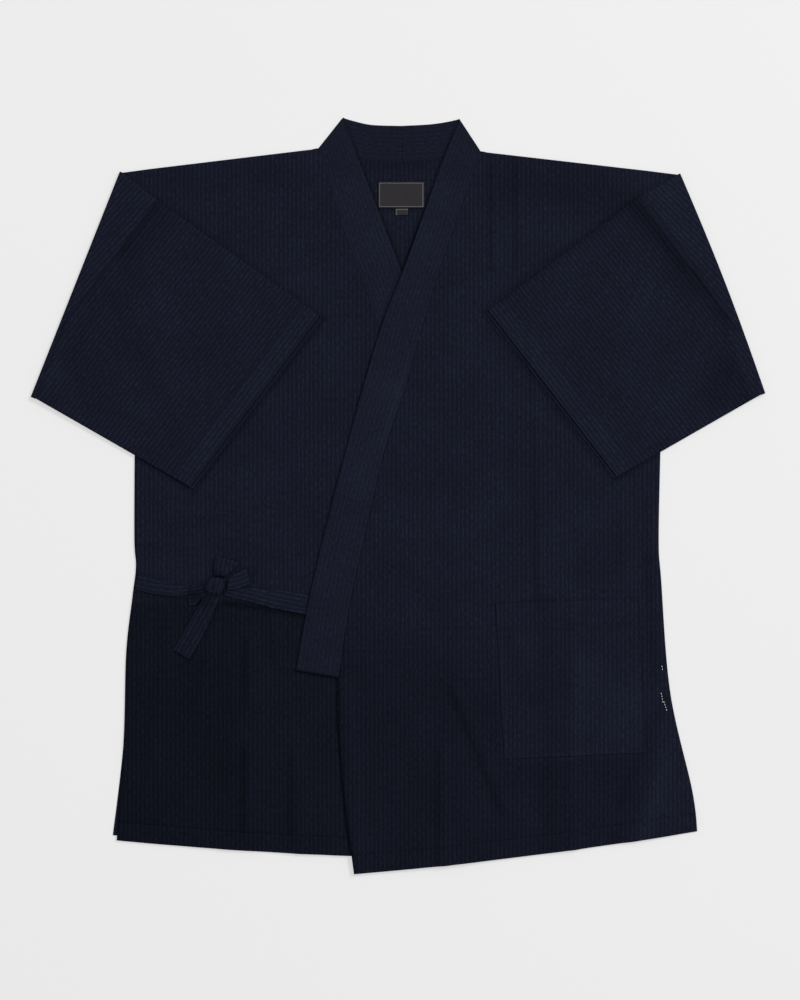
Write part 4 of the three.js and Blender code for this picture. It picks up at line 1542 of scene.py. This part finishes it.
BOW_TAIL = [
    (-217, -113, 3.9, 17, -26),
    (-222, -126, 3.3, 20, -27),
    (-237.4, -156.3, 3.2, 21.5, -28),
    (-255.6, -187.6, 3.2, 21.5, -29),
]
BOW_END = [
    (-234, -119.4, 3.6, 6, 108),
    (-240.5, -123.4, 3.4, 11.5, 106),
    (-247.5, -124, 3.2, 11, 100),
]

# %% Frames and pleats of the ties
TIE_WALL = 1.0
TIE_WIDTH = 23.0
TIE_STEP = 1.6
LEAST_STEPS = 8
AHEAD = 0.01
# How high the pleats are, how many there are, how many more when pulled, and their slant in mm.
PLEAT_RISE = 0.9
PLEATS = 2.2
MORE_PLEATS = 2
PLEAT_SLANT = 90
REACH_SAMPLES = 200


def ribbon_frames(rows):
    """Frames along a ribbon, riding on the right front's folds."""
    rows = np.array(rows, float)
    line = smooth_line(rows[:, :3])
    reach = float(sum(np.linalg.norm(np.diff(line(np.linspace(0, 1, REACH_SAMPLES)), axis=0), axis=1)))
    steps = max(LEAST_STEPS, round(reach / TIE_STEP))
    knots = np.linspace(0, 1, len(rows))
    frames = []
    for t in np.linspace(0, 1, steps + 1):
        centre = line(t)
        ahead = line(min(t + AHEAD, 1)) - line(max(t - AHEAD, 0))
        width = np.interp(t, knots, rows[:, 3])
        heading = math.radians(np.interp(t, knots, rows[:, 4]))
        across = np.array([math.cos(heading), math.sin(heading), 0])
        up = np.cross(ahead / np.linalg.norm(ahead), across)
        up = up / np.linalg.norm(up)
        under = np.array([centre - across * width * share for share in (-0.5, -0.25, 0, 0.25, 0.5)])
        centre = centre + np.array([0, 0, float(right_front_rise(under[:, 0], under[:, 1]).max())])
        frames.append((centre - across * width / 2, centre + across * width / 2, up))
    return frames


def tie_pleats(a, along, width):
    """Pleats along the tie, deeper where it is pulled narrower than its own width."""
    pull = np.clip(1 - width / TIE_WIDTH, 0, 1)
    count = PLEATS + MORE_PLEATS * pull
    return PLEAT_RISE * pull * np.sin(2 * np.pi * (a * count + along / PLEAT_SLANT)) * np.sin(np.pi * a)


# %% Ties and bow
KNOT_MIDDLE = (-216, -105)
# Painted shadow in a ring round the knot: its depth, then its radius and width in mm.
KNOT_RING_PAINTED_SHADE = 0.42
KNOT_RING_BELL = (13, 4)
# Columns: from x, y to x, y, then change of the painted shading and half width.
TIE_SHADES = [
    (-241, -117, -226, -127, -0.42, 16),
    (-232, -146, -254, -186, -0.2, 18),
]


def tie_nap(x, y, u, v):
    """Painted shadow: a dark ring where the ties go under the knot, and darker cloth in the twisted tail.
    """
    away = np.hypot(x - KNOT_MIDDLE[0], y - KNOT_MIDDLE[1])
    return over_lines(TIE_SHADES, x, y) - KNOT_RING_PAINTED_SHADE * bell(away, *KNOT_RING_BELL)


TIES = (
    ("side_tie", SIDE_TIE),
    ("front_tie", FRONT_TIE),
    ("bow_upper_loop", UPPER_LOOP),
    ("bow_side_loop", SIDE_LOOP),
    ("bow_tail", BOW_TAIL),
    ("bow_end", BOW_END),
)
ties = {}
for node, rows in TIES:
    ties[node] = sew_band(node + "_cloth", ribbon_frames(rows), TIE_WALL, tie_cotton, tie_pleats, tie_nap)
    dress(ties[node], node)

# %% [markdown]
# ## The knot
#
# The knot is the tie wrapped round itself. A true knot would hide most of its cloth, so only the
# wrap is made: one grid bent round squarish sections, with shallow grooves where its turns meet.

# %% Knot
# Columns: x, y of the middle of each section, width, height and heading in degrees.
KNOT = [
    (-227, -105, 16, 3.6, 76),
    (-223, -105, 19.5, 5, 76),
    (-215, -106, 21, 5.6, 77),
    (-207, -107.2, 21, 5.2, 78),
    (-204.4, -107.6, 18, 3.8, 78),
]
KNOT_AROUND = 36
KNOT_ALONG = 22
KNOT_SQUARENESS = 0.55
KNOT_ENDS = 0.3
GROOVE_DEPTH = 0.09
GROOVES = 3.2
GROOVE_SLANT = 0.35
# Cloth along and round the knot in mm.
KNOT_CLOTH = (30, 50)


def knot_place(u, v):
    """Rounded sections along the knot, with the turns of the tie as shallow grooves."""
    rows = np.array(KNOT, float)
    keys = np.linspace(0, 1, len(rows))
    x, y, width, height, heading = (np.interp(v, keys, rows[:, column]) for column in range(5))
    angle = 2 * np.pi * u
    close = np.clip(np.sin(np.pi * np.clip(v, 0.0, 1.0)), 0, 1) ** KNOT_ENDS
    sweep = np.sign(np.cos(angle)) * np.abs(np.cos(angle)) ** KNOT_SQUARENESS
    groove = 1 - GROOVE_DEPTH * np.cos(2 * np.pi * (GROOVES * v + GROOVE_SLANT * u)) ** 2
    turn = np.radians(heading)
    reach = sweep * width / 2 * close * groove
    lift = right_front_rise(rows[:, 0], rows[:, 1]).mean()
    z = SLEEVE_REST + lift + height / 2 * (1 + np.sin(angle) * close * groove)
    return np.column_stack([x + reach * np.cos(turn), y + reach * np.sin(turn), z])


def knot_thread(u, v):
    """The stripes run round the knot, as they run along the tie."""
    return np.column_stack([v * KNOT_CLOTH[0], u * KNOT_CLOTH[1]])


knot_shape = new_shape()
bend_grid(knot_shape, KNOT_AROUND, KNOT_ALONG, knot_place, knot_thread, even_nap)
bow_knot_cloth = as_piece(knot_shape, "bow_knot_cloth", tie_cotton)
dress(bow_knot_cloth, "bow_knot")

# %% [markdown]
# ## Pocket
#
# A patch pocket on the over front, with a 30 mm hem turned down at its mouth. It could be pressed
# into the front's own mesh, but the real one is a piece of its own, so it is a grid that lies on
# the front and takes on the same folds. Its edges are pressed under, so they are a little thicker.

# %% Pocket
POCKET = [(115, -127.4), (282, -121.5), (291.5, -302.7), (125.1, -310.3)]
POCKET_WIDTH = 167
POCKET_DEPTH = 184
POCKET_MOUTH = 30
POCKET_TURN = 9
POCKET_LIFT = 0.95
MOUTH_STEP = 0.3
TURN_STEP = 0.2
# Columns: height, wavelength and seed.
POCKET_PUFF = [(0.8, 60, 41)]
POCKET_CELLS = 60
POCKET_RIM = 0.004
pocket_top, pocket_foot = straight(POCKET[0], POCKET[1]), straight(POCKET[3], POCKET[2])


def closer_rims(share):
    """Draws the outermost rows close to the rim, so that only the very edge looks turned down."""
    cell = 1 / POCKET_CELLS
    return np.interp(share, [0, cell, 1 - cell, 1], [0, POCKET_RIM, 1 - POCKET_RIM, 1])


def pocket_flat(u, v):
    """A place on the pocket, seen from above."""
    u, v = closer_rims(u), closer_rims(v)
    return pocket_top(u) * (1 - v[:, None]) + pocket_foot(u) * v[:, None]


def pocket_place(u, v):
    """The pocket on the front, thicker at its mouth and at its turned edges."""
    flat = pocket_flat(u, v)
    x, y = flat[:, 0], flat[:, 1]
    down = v * POCKET_DEPTH
    aside = np.minimum(u, 1 - u) * POCKET_WIDTH
    mouth = MOUTH_STEP * doubled(down, POCKET_MOUTH)
    turned = TURN_STEP * doubled(np.minimum(aside, POCKET_DEPTH - down), POCKET_TURN)
    puff = hills(POCKET_PUFF, x, y) * np.sin(np.pi * u) * np.sin(np.pi * np.clip(v, 0, 1))
    return np.column_stack([flat, left_front_height(x, y) + POCKET_LIFT + mouth + turned + puff])


# %% Painted shading of the pocket
# Columns: from x, y to x, y, then change of the painted shading and half width.
POCKET_SHADES = [
    (277, -128, 285, -298, 0.1, 7),
    (118, -127, 128, -306, 0.12, 3),
    (128, -307, 288, -300, 0.12, 3),
    (116, -158, 284, -153, -0.12, 3),
]
SHADES_SHARE = 0.8
# Painted shade left of the press fold, and painted light right of it.
LEFT_SIDE_PAINTED_SHADE = -0.03
RIGHT_SIDE_PAINTED_LIGHT = 0.1
PRESS_FOLD_X = (192, 203)
BELOW_MOUTH = (150, 200)


def pocket_nap(x, y, u, v):
    """The press fold runs on across the pocket: painted shade on its left, painted light on its right."""
    side = LEFT_SIDE_PAINTED_SHADE + RIGHT_SIDE_PAINTED_LIGHT * smoothstep(x, *PRESS_FOLD_X)
    return over_lines(SHADES + POCKET_SHADES, x, y) * SHADES_SHARE + side * smoothstep(-y, *BELOW_MOUTH)


pocket_shape = new_shape()
bend_grid(pocket_shape, POCKET_CELLS, POCKET_CELLS, pocket_place, pocket_flat, pocket_nap)
pocket_cloth = as_piece(pocket_shape, "pocket_cloth", indigo_cotton, CLOTH)
dress(pocket_cloth, "pocket")

# %% [markdown]
# ## Neck label
#
# The label is a woven satin strip, sewn flat inside the back neck with a small tab below it. It
# is left bare, with a plain pale border. The border could be a second strip of cloth, but it is
# woven in, so the material draws it, at its distance from the nearest edge of the label.

# %% Label satin
LABEL = {"left": -23.4, "right": 31.0, "low": 339.0, "high": 369.9}
SIZE_TAB = {"left": -3.5, "right": 11.8, "low": 330.4, "high": 338.7}
BORDER_FROM = 1.3
BORDER_TO = 2.0
# The weft is drawn coarser than its threads, which are too fine to show.
WEFT = 0.8
WEFT_BUMP = 0.05
WEFT_STRENGTH = 0.3
SATIN_ROUGHNESS = 0.45
SATIN_GLOSS = 0.1

# Woven satin: smoother than the cotton, so it has a faint sheen, and it is a warmer black.
label_satin, tree = new_material("woven_black_satin")
spot = add(tree, "ShaderNodeUVMap", uv_map="cloth").outputs["UV"]
ways = add(tree, "ShaderNodeSeparateXYZ", {"Vector": spot})
weft = {0: ways.outputs["Y"], 1: 2 * math.pi / (WEFT * MM)}
weft_turns = add(tree, "ShaderNodeMath", weft, operation="MULTIPLY").outputs[0]
weave = add(tree, "ShaderNodeMath", {0: weft_turns}, operation="SINE").outputs[0]
half_across = (LABEL["right"] - LABEL["left"]) / 2 * MM
half_down = (LABEL["high"] - LABEL["low"]) / 2 * MM
aside = add(tree, "ShaderNodeMath", {0: ways.outputs["X"], 1: half_across}, operation="PINGPONG")
above = add(tree, "ShaderNodeMath", {0: ways.outputs["Y"], 1: half_down}, operation="PINGPONG")
nearest = {0: aside.outputs[0], 1: above.outputs[0]}
edge_gap = add(tree, "ShaderNodeMath", nearest, operation="MINIMUM").outputs[0]
from_middle = {0: edge_gap, 1: (BORDER_FROM + BORDER_TO) / 2 * MM, 2: (BORDER_TO - BORDER_FROM) / 2 * MM}
border = add(tree, "ShaderNodeMath", from_middle, operation="COMPARE").outputs[0]
tints = {"Factor": border, "A": linear("#262427"), "B": linear("#5d5b5d")}
ribs = {"Height": weave, "Strength": WEFT_STRENGTH, "Distance": WEFT_BUMP * MM}
looks = {
    "Base Color": add(tree, "ShaderNodeMix", tints, data_type="RGBA").outputs["Result"],
    "Normal": add(tree, "ShaderNodeBump", ribs).outputs["Normal"],
    "Roughness": SATIN_ROUGHNESS,
    "Specular IOR Level": SATIN_GLOSS,
}
satin = add(tree, "ShaderNodeBsdfPrincipled", looks)
add(tree, "ShaderNodeOutputMaterial", {"Surface": satin.outputs["BSDF"]})
print("label material:", label_satin.name)

# %% Label and tab
LABEL_WALL = 0.6
LABEL_LIFT = 0.5
LABEL_MIDDLE = WALL + GAP + LABEL_LIFT
# Columns: height, wavelength and seed.
LABEL_HILLS = [(0.4, 26, 51)]
LABEL_CELLS = 24
TAB_CELLS = 10


def sew_label(name, box, cells):
    """A small sheet of satin that lies on the back, a little uneven."""
    across, down = box["right"] - box["left"], box["high"] - box["low"]

    def place(u, v):
        x = box["left"] + u * across
        y = box["high"] - v * down
        return np.column_stack([x, y, LABEL_MIDDLE + hills(LABEL_HILLS, x, y)])

    def thread(u, v):
        return np.column_stack([u * across, v * down])

    shape = new_shape()
    bend_grid(shape, cells, cells, place, thread, even_nap)
    return as_piece(shape, name, label_satin, LABEL_WALL)


neck_label_cloth = sew_label("neck_label_cloth", LABEL, LABEL_CELLS)
size_tab_cloth = sew_label("size_tab_cloth", SIZE_TAB, TAB_CELLS)
dress(neck_label_cloth, "neck_label")
dress(size_tab_cloth, "size_tab")

# %% [markdown]
# ## Stitching
#
# Lines of lockstitch hold the hems, the pocket and its mouth, and the edges of the label. They
# could be drawn in the material, but real thread stands up and casts its own small shadow. Each
# stitch is a stretched icosphere of twenty faces, 2.3 mm long, lying along the surface.

# %% Thread
# The thread's twist is drawn coarser than it is, about 1 mm long, so that it shows at all.
TWIST_SCALE = 900.0
TWIST_DARKEST = 0.75
TWIST_LIGHTEST = 1.25
THREAD_ROUGHNESS = 0.6
THREAD_GLOSS = 0.05


def thread_material(name, colour):
    """Twisted thread of one hex colour, a little lighter and darker along its twist."""
    material, tree = new_material(name)
    place = add(tree, "ShaderNodeTexCoord").outputs["Object"]
    twist = add(tree, "ShaderNodeTexNoise", {"Vector": place, "Scale": TWIST_SCALE, "Detail": 2.0})
    limits = {"Value": twist.outputs["Fac"], "To Min": TWIST_DARKEST, "To Max": TWIST_LIGHTEST}
    tone = add(tree, "ShaderNodeMapRange", limits).outputs["Result"]
    tinted = {0: linear(colour)[:3], "Scale": tone}
    shade = add(tree, "ShaderNodeVectorMath", tinted, operation="SCALE").outputs["Vector"]
    looks = {"Base Color": shade, "Roughness": THREAD_ROUGHNESS, "Specular IOR Level": THREAD_GLOSS}
    skin = add(tree, "ShaderNodeBsdfPrincipled", looks)
    add(tree, "ShaderNodeOutputMaterial", {"Surface": skin.outputs["BSDF"]})
    return material


# Polyester sewing thread, a little smoother and lighter than the cloth, so the seams just show.
navy_thread = thread_material("navy_polyester_thread", "#1c2030")
# Undyed cotton thread, matt and nearly white, which stands out against the indigo.
pale_thread = thread_material("undyed_cotton_thread", "#cfcfca")
print("thread materials:", navy_thread.name, pale_thread.name)

# %% Stitches along a line
STITCH = 2.3
STITCH_PITCH = 3.2
STITCH_THICK = 0.32
STITCH_FLATNESS = 0.8
RUN_SAMPLES = 400


def run_stitches(shape, points, height, thick=STITCH_THICK):
    """Stitches along a line of x, y places, lying at a height function of x and y."""
    line = smooth_line(points) if len(points) > 2 else straight(*points)
    dense = line(np.linspace(0, 1, RUN_SAMPLES))
    reach = np.concatenate([[0], np.cumsum(np.linalg.norm(np.diff(dense, axis=0), axis=1))])
    count = int(reach[-1] // STITCH_PITCH)
    middles = (np.arange(count) + 0.5) * STITCH_PITCH
    ends = []
    for at in (middles - STITCH / 2, middles + STITCH / 2):
        x, y = (np.interp(at, reach, dense[:, axis]) for axis in range(2))
        ends.append(np.column_stack([x, y, height(x, y)]) * MM)
    size = Matrix.Diagonal((STITCH / 2 * MM, thick * MM, thick * STITCH_FLATNESS * MM, 1))
    for first, last in zip(*ends):
        turn = Vector(last - first).to_track_quat("X", "Z").to_matrix().to_4x4()
        place = Matrix.Translation(Vector((first + last) / 2)) @ turn @ size
        bmesh.ops.create_icosphere(shape, subdivisions=1, radius=1, matrix=place)
    return count


def top_of(height, extra=0.0):
    """The upper face of a cloth whose middle lies at a height."""
    return lambda x, y: height(x, y) + CLOTH / 2 + extra


# %% Where the stitches run
# How far in mm from an edge: on the pocket, on a turning and on the label.
POCKET_STITCH = 2.0
TURNING_STITCH = 2
LABEL_STITCH = 1
MOUTH_STITCH = POCKET_MOUTH - TURNING_STITCH
HEM_STITCH = HEM_DEPTH - TURNING_STITCH
# Shares of a hem where its stitches start and end. Part of the right hem is covered.
RUN_START = 0.01
RUN_END = 0.99
SHOWN_RIGHT_HEM = 0.66
RUN_PLACES = 9
# Stitches lie this far above the cloth, and above the pocket and the label.
ON_CLOTH = 0.2
ON_POCKET = 0.3
ON_LABEL = 0.6


def beside(line, distance, end=RUN_END):
    """Places beside a line, a distance to its left."""
    places = []
    for t in np.linspace(RUN_START, end, RUN_PLACES):
        way = line(min(t + AHEAD, 1.0)) - line(max(t - AHEAD, 0.0))
        way = way / np.linalg.norm(way)
        places.append(line(t) + distance * np.array([-way[1], way[0]]))
    return places


def on_label(x, y):
    """The label's upper face."""
    return np.full_like(x, LABEL_MIDDLE + ON_LABEL)


on_right, on_left = top_of(right_front_height, ON_CLOTH), top_of(left_front_height, ON_CLOTH)
on_pocket = top_of(left_front_height, POCKET_LIFT + ON_POCKET)
right_hem = sagged(straight(RIGHT_SIDE[-1], RIGHT_FRONT_EDGE[-1]))
left_hem = sagged(straight(LEFT_FRONT_EDGE[-1], LEFT_SIDE[-1]))
pocket_corners = [np.array(corner) for corner in POCKET]
pocket_middle = sum(pocket_corners) / 4
stitched = [c + POCKET_STITCH * np.sign(pocket_middle - c) for c in pocket_corners]
mouth_ends = [stitched[0] - (0, MOUTH_STITCH), stitched[1] - (0, MOUTH_STITCH)]
label_sides = (LABEL["left"] + LABEL_STITCH, LABEL["right"] - LABEL_STITCH)
label_rows = (LABEL["high"] - LABEL_STITCH, LABEL["low"] + LABEL_STITCH)
label_ends = [[(x, y) for x in label_sides] for y in label_rows]
print("corners of the pocket's stitching:", [corner.round(1).tolist() for corner in stitched])

# %% Sew the hems, pocket and label
RUNS = [
    ("right hem", beside(right_hem, HEM_STITCH, SHOWN_RIGHT_HEM), on_right),
    ("left hem", beside(left_hem, HEM_STITCH), on_left),
    ("pocket inner side", [stitched[0], stitched[3]], on_pocket),
    ("pocket foot", [stitched[3], stitched[2]], on_pocket),
    ("pocket outer side", [stitched[2], stitched[1]], on_pocket),
    ("pocket mouth", mouth_ends, on_pocket),
    ("label top", label_ends[0], on_label),
    ("label foot", label_ends[1], on_label),
]
stitch_shape = bmesh.new()
for name, points, height in RUNS:
    print(name, "stitches:", run_stitches(stitch_shape, points, height))
stitching = as_piece(stitch_shape, "navy_stitching", navy_thread)
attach(stitching, "root")

# %% [markdown]
# ## Bar tacks
#
# At the top of the side slit a few pale threads show, where bar tacks keep the slit from tearing.
# They are the same stitches, in a thicker and paler thread.

# %% Bar tacks
TACKS = [((311, -200), (312, -207)), ((310, -232), (312.5, -245)), ((313, -242), (318, -257))]
TACK_THICK = 0.45
ON_SLIT = 0.4
tack_shape = bmesh.new()
for start, end in TACKS:
    run_stitches(tack_shape, [start, end], top_of(left_front_height, ON_SLIT), TACK_THICK)
tacks = as_piece(tack_shape, "pale_bar_tacks", pale_thread)
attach(tacks, "root")

# %% [markdown]
# ## What is cloth, and how large it was cut
#
# A reader of the model can't tell thin cloth from a thin plate, so each sheet is named here. It
# states the flat size of what shows. Closed bands count one face of the band.

# %% Sheets
def sheet(piece, area, under):
    """States the flat size of a piece in metres, and what it lies on."""
    print(piece.name, "lies on", under.name, "and shows this much cloth in m2:", area)


sheet(back_cloth, 0.566, floor)
sheet(right_front_cloth, 0.300, back_cloth)
sheet(left_front_cloth, 0.299, right_front_cloth)
sheet(right_sleeve_cloth, 0.122, right_front_cloth)
sheet(left_sleeve_cloth, 0.117, left_front_cloth)
sheet(right_collar_cloth, 0.0339, back_cloth)
sheet(left_collar_cloth, 0.0329, right_collar_cloth)
sheet(pocket_cloth, 0.0304, left_front_cloth)
sheet(neck_label_cloth, 0.00168, back_cloth)
sheet(ties["side_tie"], 0.0012, right_front_cloth)
sheet(ties["front_tie"], 0.002, right_front_cloth)
sheet(ties["bow_upper_loop"], 0.00088, right_front_cloth)
sheet(ties["bow_side_loop"], 0.00087, right_front_cloth)
sheet(ties["bow_tail"], 0.0017, right_front_cloth)
sheet(ties["bow_end"], 0.00014, right_front_cloth)
